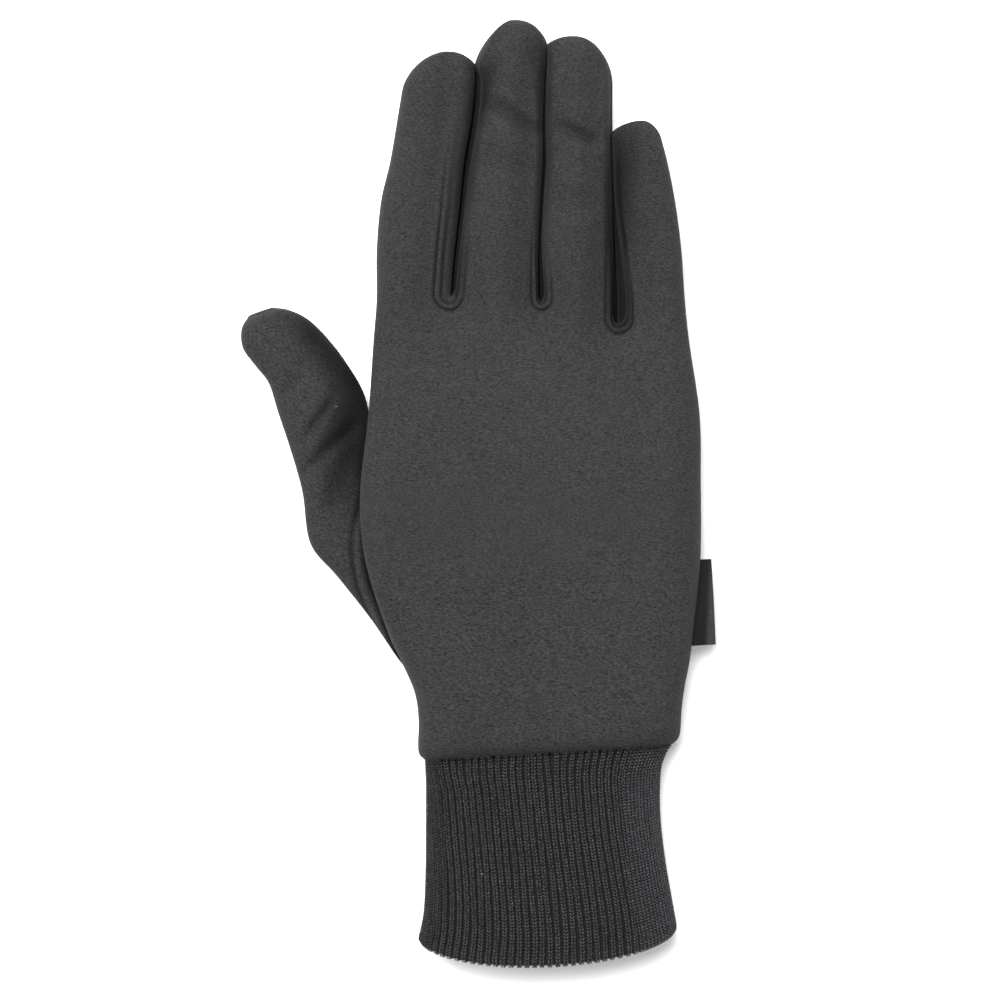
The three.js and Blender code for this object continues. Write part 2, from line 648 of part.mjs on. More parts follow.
// The side label: a woven tape folded into a flat loop, its ends held in the side seam
function labelSolid() {
  const half = labelFold / 2 + labelTape;
  const outline = new THREE.Shape();
  outline.moveTo(0, -half);
  outline.lineTo(labelReach - half, -half);
  outline.absarc(labelReach - half, 0, half, -Math.PI / 2, Math.PI / 2, false);
  outline.lineTo(0, half);
  outline.lineTo(0, labelFold / 2);
  outline.lineTo(labelReach - half, labelFold / 2);
  outline.absarc(labelReach - half, 0, labelFold / 2, Math.PI / 2, -Math.PI / 2, true);
  outline.lineTo(0, -labelFold / 2);
  const tape = new THREE.ExtrudeGeometry(outline, { depth: labelLength, bevelEnabled: false, curveSegments: 5 });
  const labelTop = 0.262;
  const seat = outerRight(labelTop - (0.5 * labelLength) / handLength);
  tape.rotateX(Math.PI / 2);
  tape.rotateY(THREE.MathUtils.degToRad(8));
  tape.rotateZ(THREE.MathUtils.degToRad(labelTurn));
  tape.translate(palmWidth * seat - 0.55 * labelReach, yAt(labelTop), sideHeight(labelTop, false) + 0.8);
  const position = tape.getAttribute('position');
  const sheet = new Sheet();
  for (let k = 0; k < position.count; k += 3) {
    const corner = (j) => sheet.point({ x: position.getX(j), y: position.getY(j), z: position.getZ(j) });
    sheet.face([corner(k), corner(k + 1), corner(k + 2)], 'label');
  }
  return toManifold(sheet.points, sheet.faces.map((f) => f.corners));
}

// Make the pieces, then cut each where its neighbour lies
const hand = handSheet();
const thumb = thumbSheet();
const handBody = hand.solid(seamGap);
const thumbBody = thumb.solid(0);
const thumbHollow = thumb.solid(-clothWall);
const thumbMouth = thumbHollow.trimByPlane([0, -1, 0], -yAt(thumbOpening));

const liner = new THREE.Group();
liner.add(toMesh(hand.cloth('shell', clothWall).subtract(thumbMouth), 'hand_shell', shellCloth));
for (const { between } of crotches) {
  liner.add(toMesh(hand.cloth(`gusset_${between}`, clothWall), `gusset_${between}`, gussetCloth));
}
liner.add(toMesh(thumbBody.subtract(thumbHollow).subtract(handBody), 'thumb', shellCloth));
liner.add(toMesh(cuffSolid(), 'rib_cuff', cuffKnit));
liner.add(toMesh(labelSolid().subtract(handBody), 'side_label', labelSatin));

export default liner;
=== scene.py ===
# %% [markdown]
# # A knitted glove liner, palm down
# The object is a thin right-hand glove: a shell of brushed jersey with a narrow gusset between
# each finger and the next, a set-in thumb, a cuff of one by one rib and a folded side label.
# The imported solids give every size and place. This lesson dresses them: each soft solid is
# replaced by a finer piece that is worked out from the same named sizes, with the dents, rolls,
# stitches and fuzz that a plain solid leaves out. Lengths are in millimetres until the moment a
# mesh is made.

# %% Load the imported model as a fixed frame
import math

import bpy
import numpy as np
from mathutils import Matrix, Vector


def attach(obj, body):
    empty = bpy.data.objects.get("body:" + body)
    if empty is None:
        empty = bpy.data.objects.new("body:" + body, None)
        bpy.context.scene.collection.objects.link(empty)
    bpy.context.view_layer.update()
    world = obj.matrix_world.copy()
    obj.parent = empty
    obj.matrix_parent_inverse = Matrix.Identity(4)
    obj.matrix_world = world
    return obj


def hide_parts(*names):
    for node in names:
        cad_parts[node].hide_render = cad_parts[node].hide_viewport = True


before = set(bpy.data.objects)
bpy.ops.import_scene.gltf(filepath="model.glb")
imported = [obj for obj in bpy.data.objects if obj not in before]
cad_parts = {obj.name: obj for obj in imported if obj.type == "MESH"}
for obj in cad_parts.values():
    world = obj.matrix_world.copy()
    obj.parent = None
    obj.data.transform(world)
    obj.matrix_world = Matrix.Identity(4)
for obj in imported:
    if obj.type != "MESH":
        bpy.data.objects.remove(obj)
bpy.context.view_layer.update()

MM = 0.001
A_TURN = 6.28
print("nodes:", sorted(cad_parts))

# %% [markdown]
# ## Named sizes
# These are the glove's driving sizes, the same as in the solids, so a dressed piece lands on the
# solid that it replaces. +X points to the little finger, +Y to the fingertips and +Z up. The
# wrist seam is at along = 0 and the middle fingertip at along = 1.

# %% Sizes of the glove
HAND_LENGTH = 205
PALM_WIDTH = 95
PALM_THICKNESS = 20
FINGER_THICKNESS = 15
WRIST_THICKNESS = 16
PALM_CENTRE = 0.29
CLOTH_WALL = 1.2
THUMB_THICKNESS = 13.5
THUMB_REACH = 36
THUMB_TUCK = 10.5
CUFF_LENGTH = 51.2
CUFF_WALL = 2.4
CUFF_INSET = 0.5
HEM_SAG = 9.2
HEM_THICKNESS = 18
RIB_COUNT = 76
RIB_TWIST = 4
WRIST_TILT = 0.061
PALM_ROLL = 12
FINGER_ROLL = 7
SEAM_DIP = 3.2
SEAM_DIP_WIDTH = 5
CROWN_POWER = 2.3
SLOPE_WIDTH = 0.24


# %% [markdown]
# ## Tables and smooth curves
# The outline is kept as short tables of shares: each row is a place along the hand, each column
# one edge. A cubic curve through the rows turns a table into a smooth edge. Reading a shape from
# a few named rows keeps it easy to adjust, and the curve adds no wobble of its own.

# %% A table of named columns, and a smooth curve through one of them
def table(columns, *rows):
    return dict(zip(columns.split(), np.array(rows, float).T))


def mix(a, b, t):
    return a + (b - a) * t


def through(rows, key, column):
    at, values = rows[key], rows[column]
    last = len(at) - 1
    row = np.arange(last + 1)
    before, after = np.maximum(row - 1, 0), np.minimum(row + 1, last)
    slope = (values[after] - values[before]) / (at[after] - at[before])

    def curve(v):
        v = np.clip(v, at[0], at[-1])
        i = np.clip(np.searchsorted(at, v, side="right") - 1, 0, last - 1)
        span = at[i + 1] - at[i]
        t = (v - at[i]) / span
        start = slope[i] * span * t * (1 - t) ** 2
        end = slope[i + 1] * span * t * t * (1 - t)
        return mix(values[i], values[i + 1], t * t * (3 - 2 * t)) + start - end

    return curve


# %% The hand's outline
OUTER_EDGES = table(
    "along left right",
    (0.0, -0.328, 0.404), (0.006, -0.341, 0.42), (0.017, -0.345, 0.428), (0.05, -0.343, 0.432),
    (0.085, -0.354, 0.441), (0.122, -0.389, 0.455), (0.158, -0.427, 0.464), (0.249, -0.491, 0.485),
    (0.304, -0.51, 0.489), (0.362, -0.512, 0.488), (0.46, -0.489, 0.485), (0.563, -0.475, 0.454),
    (0.617, -0.467, 0.442), (0.686, -0.467, 0.432), (0.754, -0.454, 0.413), (0.808, -0.427, 0.39),
    (0.863, -0.407, 0.36), (0.918, -0.388, 0.34), (0.958, -0.377, 0.33),
)
INNER_EDGES = table(
    "along indexRight middleLeft middleRight ringLeft ringRight littleLeft",
    (0.571, -0.249, -0.233, 0.009, 0.03, 0.228, 0.272),
    (0.617, -0.2465, -0.2305, 0.009, 0.0285, 0.228, 0.269),
    (0.686, -0.2365, -0.2195, 0.0095, 0.02, 0.23, 0.255),
    (0.754, -0.2205, -0.2035, 0.0165, 0.0255, 0.227, 0.2365),
    (0.808, -0.2085, -0.188, 0.0235, 0.0335, 0.2235, 0.232),
    (0.863, -0.1885, -0.1675, 0.0235, 0.031, 0.2225, 0.227),
    (0.918, -0.1775, -0.1595, 0.0275, 0.034, 0.2235, 0.2265),
    (0.943, -0.18, -0.172, 0.0325, 0.036, 0.2225, 0.2265),
    (1.0, -0.178, -0.176, 0.033, 0.0355, 0.2215, 0.2265),
)
FINGERS = [
    dict(name="index", tip=0.958, apex=-0.256, crown=1.0, left=0.07, right=0.052),
    dict(name="middle", tip=1.001, apex=-0.065, crown=1.04, left=0.02, right=0.02),
    dict(name="ring", tip=0.979, apex=0.112, crown=1.0, left=0.021, right=0.021),
    dict(name="little", tip=0.8635, apex=0.313, crown=0.88, left=0.017, right=0.07),
]
TIP_ENDS = table(
    "leftLength leftPower rightLength rightPower",
    (0.118, 1.9, 0.052, 2.0), (0.148, 1.55, 0.094, 2.2),
    (0.038, 2.0, 0.136, 2.0), (0.05, 1.8, 0.053, 2.2),
)
TIP_DEPTH = 0.13
TIP_DEPTH_POWER = 2.2
CROTCHES = [
    dict(between="index_middle", along=0.603, x=-0.2476, round=0.047, web=0.047),
    dict(between="middle_ring", along=0.603, x=0.0177, round=0.035, web=0.03),
    dict(between="ring_little", along=0.571, x=0.2446, round=0.045, web=0.032),
]
CREST = table(
    "along top",
    (0.0, WRIST_THICKNESS), (0.03, WRIST_THICKNESS * 1.1), (0.15, PALM_THICKNESS * 0.95),
    (0.3, PALM_THICKNESS), (0.45, PALM_THICKNESS * 0.95), (0.57, FINGER_THICKNESS * 1.12),
    (0.65, FINGER_THICKNESS * 1.02), (0.75, FINGER_THICKNESS), (1.0, FINGER_THICKNESS * 0.94),
)
PROP = table("along lift", (0.09, 0), (0.15, 0.45), (0.22, 1), (0.49, 1), (0.56, 0.55), (0.64, 0))

outer_left = through(OUTER_EDGES, "along", "left")
outer_right = through(OUTER_EDGES, "along", "right")
crest_height = through(CREST, "along", "top")
prop_share = through(PROP, "along", "lift")
side_edges = [
    {
        "left": outer_left if i == 0 else through(INNER_EDGES, "along", finger["name"] + "Left"),
        "right": outer_right if i == 3 else through(INNER_EDGES, "along", finger["name"] + "Right"),
    }
    for i, finger in enumerate(FINGERS)
]


def y_at(along):
    return HAND_LENGTH * (along - PALM_CENTRE)


def along_at(y):
    return y / HAND_LENGTH + PALM_CENTRE


print("fingers:", [finger["name"] for finger in FINGERS])


# %% [markdown]
# ## Seams between the fingers
# Beside each crotch runs a seam shaped like a narrow U: it comes down one finger, turns round the
# foot of the gusset and goes up the next. Beyond the foot the line goes on to the wrist unseen,
# only to keep the columns of the mesh in order. A chain of points along each U measures how far
# any place is from the seam, which later presses the cloth down there. The seam is crisp near the
# foot and fades out towards the fingertips, so a table gives its strength on each of the six
# limbs, by the distance above the foot.

# %% The seam lines
def crotch_beside(i, side):
    k = i if side == "right" else i - 1
    return CROTCHES[k] if 0 <= k < len(CROTCHES) else None


def opening(crotch, along):
    t = np.clip((along - crotch["along"]) * HAND_LENGTH / (crotch["round"] * PALM_WIDTH), 0, 1)
    return np.sqrt(1 - (1 - t) ** 2)


def seam_line(i, side, along):
    along = np.asarray(along, float)
    crotch = crotch_beside(i, side)
    inset = FINGERS[i]["left"] if side == "left" else -FINGERS[i]["right"]
    line = side_edges[i][side](along) + inset
    if crotch is None:
        return PALM_WIDTH * line
    foot = crotch["along"]
    share = (crotch["x"] - outer_left(foot)) / (outer_right(foot) - outer_left(foot))
    below = mix(outer_left(along), outer_right(along), share)
    above = mix(crotch["x"], line, opening(crotch, along))
    return PALM_WIDTH * np.where(along <= foot, below, above)


SEAM_STRENGTH = table(
    "above indexRight middleLeft middleRight ringLeft ringRight littleLeft",
    (0.0, 1.0, 1.0, 1.0, 1.0, 1.0, 1.0), (0.03, 1.0, 1.0, 1.0, 0.8, 1.0, 1.0),
    (0.06, 1.0, 0.85, 0.7, 0.35, 1.0, 0.7), (0.09, 0.95, 0.5, 0.4, 0.1, 0.9, 0.35),
    (0.12, 0.8, 0.2, 0.15, 0.0, 0.7, 0.1), (0.17, 0.5, 0.05, 0.05, 0.0, 0.3, 0.0),
    (0.22, 0.2, 0.0, 0.0, 0.0, 0.1, 0.0), (0.28, 0.0, 0.0, 0.0, 0.0, 0.0, 0.0),
)
seam_strengths = {key: through(SEAM_STRENGTH, "above", key) for key in SEAM_STRENGTH}


def seam_chain(k):
    crotch = CROTCHES[k]
    swing = np.linspace(0, math.pi / 2, 9)
    foot = (1 - np.cos(swing)) * crotch["round"] * PALM_WIDTH / HAND_LENGTH
    above = np.concatenate([foot, np.linspace(foot[-1], 0.36, 26)[1:]])
    limbs = []
    for i, side in ((k, "Right"), (k + 1, "Left")):
        along = crotch["along"] + above
        strength = seam_strengths[FINGERS[i]["name"] + side](above)
        limbs.append(np.stack([seam_line(i, side.lower(), along), y_at(along), strength], -1))
    return np.concatenate([limbs[0][::-1], limbs[1]])


SEAM_CHAINS = [seam_chain(k) for k in range(len(CROTCHES))]


def nearest_on_chain(x, y, chain):
    a, run = chain[:-1], np.diff(chain, axis=0)
    size = np.maximum((run[:, :2] ** 2).sum(-1), 1e-9)
    dx, dy = x[..., None] - a[:, 0], y[..., None] - a[:, 1]
    t = np.clip((dx * run[:, 0] + dy * run[:, 1]) / size, 0, 1)
    away = np.hypot(dx - t * run[:, 0], dy - t * run[:, 1])
    nearest = away.argmin(-1)[..., None]
    strength = np.take_along_axis(a[:, 2] + t * run[:, 2], nearest, -1)[..., 0]
    return np.take_along_axis(away, nearest, -1)[..., 0], strength


print("longest seam chain:", max(len(chain) for chain in SEAM_CHAINS), "points")

# %% [markdown]
# ## How high the cloth stands
# The back of the hand is a height over each place: a crown along the middle, a rounded roll at
# the outer edges, a broad hollow towards each seam and a narrow ditch right at it. Creases are
# short soft grooves. Each has a depth, and a shade: painted shade that later darkens the cloth's
# colour in it, where a crease would lie in shadow. A row with no depth is painted shade alone.
# A few slow waves, drawn from fixed random numbers, keep the cloth from looking moulded. Heights
# are easier to reason about than brush strokes, and they stay smooth.

# %% Creases, ditches and slow waves
CREASES = table(
    "x along turn half width depth shade",
    (-0.062, 0.866, -33, 0.085, 0.022, 0.2, 0.3), (-0.085, 0.80, -16, 0.08, 0.035, 0.07, 0.1),
    (0.015, 0.92, -82, 0.11, 0.02, 0.08, 0.35), (-0.04, 0.9, -48, 0.05, 0.03, 0.03, 0.1),
    (0.13, 0.842, -26, 0.065, 0.018, 0.19, 0.34), (0.11, 0.755, -10, 0.07, 0.035, 0.06, 0.14),
    (0.055, 0.83, 85, 0.12, 0.025, 0.03, 0.1), (0.253, 0.77, 86, 0.2, 0.042, 0.14, 0.52),
    (-0.15, 0.9, 74, 0.1, 0.028, 0.05, 0.5), (-0.195, 0.79, 78, 0.1, 0.02, 0.02, 0.22),
    (-0.005, 0.80, 87, 0.25, 0.025, 0.0, 0.1), (-0.23, 0.78, 82, 0.25, 0.025, 0.0, 0.08),
    (0.0, 0.63, 0, 0.52, 0.15, 0.0, 0.1), (0.31, 0.74, 90, 0.24, 0.07, 0.0, 0.12),
)
THUMB_CREASES = table(
    "x along turn half width depth shade",
    (-0.632, 0.456, 55, 0.07, 0.016, 0.13, 0.2), (-0.6, 0.418, 46, 0.1, 0.02, 0.17, 0.25),
    (-0.585, 0.437, 50, 0.1, 0.045, 0.05, 0.05), (-0.72, 0.50, 40, 0.04, 0.02, 0.05, 0.1),
    (-0.585, 0.375, 72, 0.12, 0.03, 0.04, 0.2), (-0.545, 0.474, 60, 0.12, 0.05, 0.0, 0.3),
    (-0.565, 0.385, 75, 0.1, 0.05, 0.0, 0.16),
)
DITCH_DEPTH = 1.1
DITCH_WIDTH = 0.5
WAVE_HEIGHT = 0.2
WAVE_COUNT = 9
SHORTEST_WAVE = 14
LONGEST_WAVE = 42
shapes_rng = np.random.default_rng(11)
WAVES = [
    (
        shapes_rng.uniform(0, 2 * math.pi),
        2 * math.pi / shapes_rng.uniform(SHORTEST_WAVE, LONGEST_WAVE),
        shapes_rng.uniform(0, A_TURN),
    )
    for _ in range(WAVE_COUNT)
]


def creased(creases, x, y, column="depth"):
    depth = np.zeros_like(x)
    for k in range(len(creases["x"])):
        turn = math.radians(creases["turn"][k])
        dx, dy = x - creases["x"][k] * PALM_WIDTH, y - y_at(creases["along"][k])
        lengthwise = (dx * math.cos(turn) + dy * math.sin(turn)) / (creases["half"][k] * PALM_WIDTH)
        crosswise = (dy * math.cos(turn) - dx * math.sin(turn)) / (creases["width"][k] * PALM_WIDTH)
        depth += creases[column][k] * np.exp(-crosswise ** 2 - lengthwise ** 4)
    return depth


def slow_waves(x, y):
    waves = [np.sin((x * math.cos(a) + y * math.sin(a)) * f + p) for a, f, p in WAVES]
    return WAVE_HEIGHT / math.sqrt(WAVE_COUNT) * sum(waves)


# %% Heights of the back and of the palm side
PUFF_LENGTH = 3.4
PUFF_DROP = 0.11
SIDE_SHARE = 0.48
KNUCKLES = 0.45
KNUCKLES_FADE = 0.2
CROWN_START = 0.3
CROWN_FADE = 0.25
LANES_AT = 0.603
LANE_CENTRES = table(
    "x crown",
    *[
        (0.5 * (seam_line(i, "left", LANES_AT) + seam_line(i, "right", LANES_AT)), finger["crown"])
        for i, finger in enumerate(FINGERS)
    ],
)
crown_at = through(LANE_CENTRES, "x", "crown")


def lift_at(along):
    return THUMB_TUCK * prop_share(along)


def side_height(along, left_side):
    lift = np.where(left_side, lift_at(along), 0.0)
    return lift + SIDE_SHARE * (crest_height(along) - lift)


def top_height(x, along):
    x, along = np.broadcast_arrays(np.asarray(x, float), along)
    roll = mix(PALM_ROLL, FINGER_ROLL, np.clip((along - KNUCKLES) / KNUCKLES_FADE, 0, 1))
    from_left = x - PALM_WIDTH * outer_left(along)
    from_right = PALM_WIDTH * outer_right(along) - x
    left_side = from_left < from_right
    side = side_height(along, left_side)
    crown = mix(1, crown_at(x), np.clip((along - CROWN_START) / CROWN_FADE, 0, 1))
    height = crest_height(along) * crown
    t = np.clip(np.where(left_side, from_left, from_right) / roll, 0, 1)
    edge = (1 - (1 - t) ** CROWN_POWER) ** (1 / CROWN_POWER)
    y = y_at(along)
    dip = np.zeros_like(x)
    for chain in SEAM_CHAINS:
        away, strength = nearest_on_chain(x, y, chain)
        broad = SEAM_DIP * np.exp(-(away / SEAM_DIP_WIDTH) ** 2)
        ditch = strength * DITCH_DEPTH * np.exp(-(away / DITCH_WIDTH) ** 2)
        dip = np.maximum(dip, broad + ditch)
    soft = slow_waves(x, y) - FINGER_THICKNESS * creased(CREASES, x, y)
    puff = 1 - PUFF_DROP * np.clip(1 - along * HAND_LENGTH / PUFF_LENGTH, 0, 1) ** 2
    return puff * (side + (height - side - dip + soft) * edge)


def bottom_height(x, along):
    from_left = x - PALM_WIDTH * outer_left(along)
    slope = np.clip(from_left / (SLOPE_WIDTH * PALM_WIDTH), 0, 1)
    return lift_at(along) * 0.5 * (1 + np.cos(math.pi * slope))


print("height over the palm:", float(top_height(0.0, 0.3).round(1)), "mm")

# %% [markdown]
# ## One ring of cloth
# The hand is lofted through rings. A ring goes up one side, over the back lane by lane, down the
# other side and home along the palm. Below the crotches one ring holds all four fingers, and
# above them each finger has its own. Columns crowd towards the seams, where the ditch and the
# rolled edge need them, and thin out over the plain cloth. Between two fingers the gusset's walls
# fold inwards and pass each other at different heights, as two soft tongues, so the slit is shut
# from above and neither wall cuts the other. Each fingertip ends in its own rounded curve.

# %% The columns of a ring
TOP_STEPS = 26
SIDE_STEPS = 22
OVER_STEPS = 9
UNDER_STEPS = 7
PALM_STEPS = 9
CROWDING = 0.72
UNDER_REACH = 0.7
WEB_FADE = 20
SIDE_EASE = 0.75
LIP_POWER = 0.72
TONGUES = {
    "right": dict(depth=0.88, width=0.11, overlap=0.6),
    "left": dict(depth=0.68, width=0.1, overlap=-0.6),
}


def crowded(steps, ends):
    t = np.arange(steps) / steps
    return mix(t, 0.5 - 0.5 * np.cos(math.pi * t), ends)


def rounded_end(i, along, length, power):
    t = np.clip(1 - (FINGERS[i]["tip"] - along) * HAND_LENGTH / (length * PALM_WIDTH), 0, 1)
    return float((1 - t ** power) ** (1 / power))


def shaped_tip(i, along, x, z):
    ends = {key: column[i] for key, column in TIP_ENDS.items()}
    left = rounded_end(i, along, ends["leftLength"], ends["leftPower"])
    right = rounded_end(i, along, ends["rightLength"], ends["rightPower"])
    apex, side = FINGERS[i]["apex"] * PALM_WIDTH, side_height(along, i == 0)
    from_apex = x - apex
    x = apex + from_apex * np.where(from_apex < 0, left, right)
    return x, side + (z - side) * rounded_end(i, along, TIP_DEPTH, TIP_DEPTH_POWER)


def gap_middle(k, along):
    return 0.5 * (side_edges[k]["right"](along) + side_edges[k + 1]["left"](along)) * PALM_WIDTH


def outer_side(i, left_side, along):
    seam = seam_line(i, "left" if left_side else "right", along)
    edge = PALM_WIDTH * (outer_left(along) if left_side else outer_right(along))
    under = UNDER_REACH * (seam - edge)
    over = np.arange(OVER_STEPS + 1) / OVER_STEPS * math.pi / 2
    x_over = mix(edge, seam, 1 - np.sin(over))
    below = np.arange(1, UNDER_STEPS + 1) / UNDER_STEPS * math.pi / 2
    x_under = edge + under * (1 - np.cos(below))
    low = bottom_height(edge + under, along)
    z_under = mix(side_height(along, left_side), low, np.sin(below))
    x = np.concatenate([x_over, x_under])
    z = np.concatenate([top_height(x_over, along), z_under])
    return x, z, np.zeros_like(x)


def inner_side(i, side, along):
    k = i if side == "right" else i - 1
    crotch = CROTCHES[k]
    seam = float(seam_line(i, side, along))
    foot, open_share = crotch["x"] * PALM_WIDTH, opening(crotch, along)
    edge = mix(foot, PALM_WIDTH * side_edges[i][side](along), open_share)
    closed = mix(foot, gap_middle(k, along), open_share)
    low, high = bottom_height(seam, along), top_height(seam, along)
    reach = (along - crotch["along"]) * HAND_LENGTH
    shift = crotch["web"] * PALM_WIDTH * np.clip(1 - reach / WEB_FADE, 0, 1)
    t = np.arange(SIDE_STEPS + 1) / SIDE_STEPS
    turn = math.pi * mix(t, t * t, SIDE_EASE * (1 - t))
    depth = 0.5 * (1 - np.cos(turn))
    tongue = TONGUES[side]
    closing = np.exp(-((depth - tongue["depth"]) / tongue["width"]) ** 2)
    closing = closing * min(1.0, 3 * float(open_share))
    lip = seam + (edge - seam) * np.sin(math.pi * depth ** LIP_POWER)
    x = mix(lip, closed + tongue["overlap"] * open_share, closing)
    return x, mix(high, low, depth), shift * np.sin(turn)


SHELL, OPEN = 3, 4


def ring(lanes, along, gusset_ends=False):
    xs, zs, shifts, cloth = [], [], [], []

    def add(i, x, z, shift, kind):
        if len(lanes) == 1:
            x, z = shaped_tip(i, along, x, z)
        xs.append(x)
        zs.append(z)
        shifts.append(shift)
        cloth.append(np.full(len(x), kind))

    def add_side(i, side, up):
        outer = crotch_beside(i, side) is None
        made = outer_side(i, side == "left", along) if outer else inner_side(i, side, along)
        x, z, shift = made
        if up:
            x, z, shift = x[::-1], z[::-1], shift[::-1]
        kind = SHELL if outer or gusset_ends else (i if side == "right" else i - 1)
        add(i, x[:-1], z[:-1], shift[:-1], kind)

    add_side(lanes[0], "left", True)
    for i in lanes:
        seams = (seam_line(i, side, along) for side in ("left", "right"))
        x = mix(*seams, crowded(TOP_STEPS, CROWDING))
        add(i, x, top_height(x, along), np.zeros_like(x), SHELL)
    add_side(lanes[-1], "right", False)
    for i in reversed(lanes):
        ends = []
        for side in ("right", "left"):
            seam = seam_line(i, side, along)
            edge = PALM_WIDTH * (outer_left(along) if side == "left" else outer_right(along))
            outer = crotch_beside(i, side) is None
            ends.append(mix(edge, seam, UNDER_REACH) if outer else seam)
        x = mix(ends[0], ends[1], np.arange(PALM_STEPS) / PALM_STEPS)
        add(i, x, bottom_height(x, along), np.zeros_like(x), SHELL)
    x, z = np.concatenate(xs), np.concatenate(zs)
    y = y_at(along) + np.concatenate(shifts)
    y = y + WRIST_TILT * x * np.clip(1 - (y / HAND_LENGTH + PALM_CENTRE) / 0.14, 0, 1)
    return np.stack([x, y, z], -1), np.concatenate(cloth)


print("points in a ring of the palm:", len(ring([0, 1, 2, 3], 0.3)[0]))


# %% [markdown]
# ## Loft the rings into one sheet
# Rows come every 0.8 mm, and closer round the foot of each gusset and at the fingertips, where
# the shape turns quickly. Rings that meet share their points, so the whole hand is one skin
# before it is parted into shell and gussets.

# %% Rows of rings
ROW_GAP = 0.8
FOOT_ROWS = 11
TIP_ROWS = 30
TIP_SHELL_FROM = 0.4
WRIST_ROWS = [0, 0.0015, 0.003, 0.005]
WELD = 2000


def even_rows(start, end):
    count = max(1, round((end - start) * HAND_LENGTH / ROW_GAP))
    return list(np.linspace(start, end, count + 1)[1:])


def foot_rows(crotch):
    swing = np.linspace(0, math.pi / 2, FOOT_ROWS)
    rise = (1 - np.cos(swing)) * crotch["round"] * PALM_WIDTH / HAND_LENGTH
    return list(crotch["along"] + rise)


def tip_rows(finger):
    start = finger["tip"] - TIP_DEPTH * PALM_WIDTH / HAND_LENGTH
    turn = np.linspace(0, math.pi / 2, TIP_ROWS)[:-1]
    return start, list(mix(start, finger["tip"], np.sin(turn)))


class Skin:
    """Triangles that share their points, and the cloth that each belongs to."""

    def __init__(self):
        self.points, self.triangles, self.cloth, self.count = [], [], [], 0

    def loft(self, rings, kinds):
        rows, columns = len(rings), len(rings[0])
        index = self.count + np.arange(rows * columns).reshape(rows, columns)
        a, d = index[:-1], index[1:]
        b, c = np.roll(a, -1, axis=1), np.roll(d, -1, axis=1)
        kind = np.broadcast_to(np.stack(kinds)[:-1], a.shape).ravel()
        self.triangles += [np.stack(half, -1).reshape(-1, 3) for half in ([a, b, c], [a, c, d])]
        self.cloth += [kind, kind]
        self.points.append(np.concatenate(rings))
        self.count += rows * columns

    def lid(self, loop, turned, kind):
        n = len(loop)
        index = self.count + np.arange(n)
        a, b = index, np.roll(index, -1)
        fan = [np.full(n, self.count + n), *((b, a) if turned else (a, b))]
        self.triangles.append(np.stack(fan, -1))
        self.cloth.append(np.full(n, kind))
        self.points.append(np.concatenate([loop, loop.mean(0)[None]]))
        self.count += n + 1

    def welded(self):
        points = np.concatenate(self.points)
        _, first, where = np.unique(
            np.round(points * WELD), axis=0, return_index=True, return_inverse=True
        )
        triangles = where.reshape(-1)[np.concatenate(self.triangles)]
        a, b, c = triangles.T
        real = (a != b) & (b != c) & (c != a)
        return points[first], triangles[real], np.concatenate(self.cloth)[real]


def hand_skin():
    skin = Skin()

    def loft(lanes, rows, ends=False):
        made = [ring(lanes, along, ends) for along in rows]
        skin.loft([points for points, _ in made], [kinds for _, kinds in made])
        return made[0][0], made[-1][0]

    low, high = CROTCHES[2]["along"], CROTCHES[0]["along"]
    first, _ = loft([0, 1, 2, 3], WRIST_ROWS + even_rows(WRIST_ROWS[-1], low))
    skin.lid(first, True, OPEN)
    foot = foot_rows(CROTCHES[2])
    loft([0, 1, 2], foot + even_rows(foot[-1], high))
    loft([3], foot + even_rows(foot[-1], high))
    for i, finger in enumerate(FINGERS):
        foot = foot_rows(CROTCHES[min(i, 1)]) if i < 3 else [high]
        start, cap = tip_rows(finger)
        ends = round(len(cap) * TIP_SHELL_FROM)
        loft([i], foot + even_rows(foot[-1], start) + cap[1:ends])
        _, last = loft([i], cap[ends - 1:], True)
        skin.lid(last, False, SHELL)
    return skin.welded()


hand_points, hand_triangles, hand_cloth = hand_skin()
print("skin of the hand:", len(hand_points), "points,", len(hand_triangles), "triangles")


# %% [markdown]
# ## Roll the gusset's edge, and paint shade on the seams
# Beside every seam the gusset's own edge stands up as a thin roll, because the seam allowance
# turns under it. The roll follows the distance from the seam in space, so it runs round the foot
# of the U without a break. It is raised along the skin's normals. Every point also carries one
# number of painted light and shade that the materials read: above nought it is painted shade,
# darkening the cloth on a seam's line, in a tuck and inside a slit beyond what their hollows
# shade, and below nought, on the crest of the roll, it is a painted highlight that lightens it.

# %% Sizes of the roll and of the painted shades
ROLL_HEIGHT = 0.7
ROLL_AT = 0.95
ROLL_WIDTH = 0.55
ROLL_START = 0.3
ROLL_PAINTED_HIGHLIGHT = 0.3
TUCK_DEPTH = 0.45
TUCK_AT = 2.1
TUCK_WIDTH = 0.5
TUCK_SHADE = 0.8
LINE_WIDTH = 0.42
LINE_SHADE = 0.8
BACK_ABOVE = 5
WALL_SHADE = 0.78
WALL_FADE = 0.25
SHELL_REACH = 14
HEM_SHADE = 0.08
HEM_WIDTH = 1.1
DARKEST = 0.9
SLITS = table(
    "wallOnLeft wallOnRight shadeOnLeft shadeOnRight reach",
    (0.66, 0.84, 0.76, 0.62, 2.4), (0.78, 0.78, 0.58, 0.54, 1.8), (0.8, 0.8, 0.0, 0.4, 2.6),
)


def bell(away, at, width):
    return np.exp(-((away - at) / width) ** 2)


def skin_normals(points, triangles):
    a, b, c = (points[triangles[:, k]] for k in range(3))
    across = np.cross(b - a, c - a)
    normals = np.zeros_like(points)
    for k in range(3):
        np.add.at(normals, triangles[:, k], across)
    return normals / np.maximum(np.linalg.norm(normals, axis=1, keepdims=True), 1e-12)


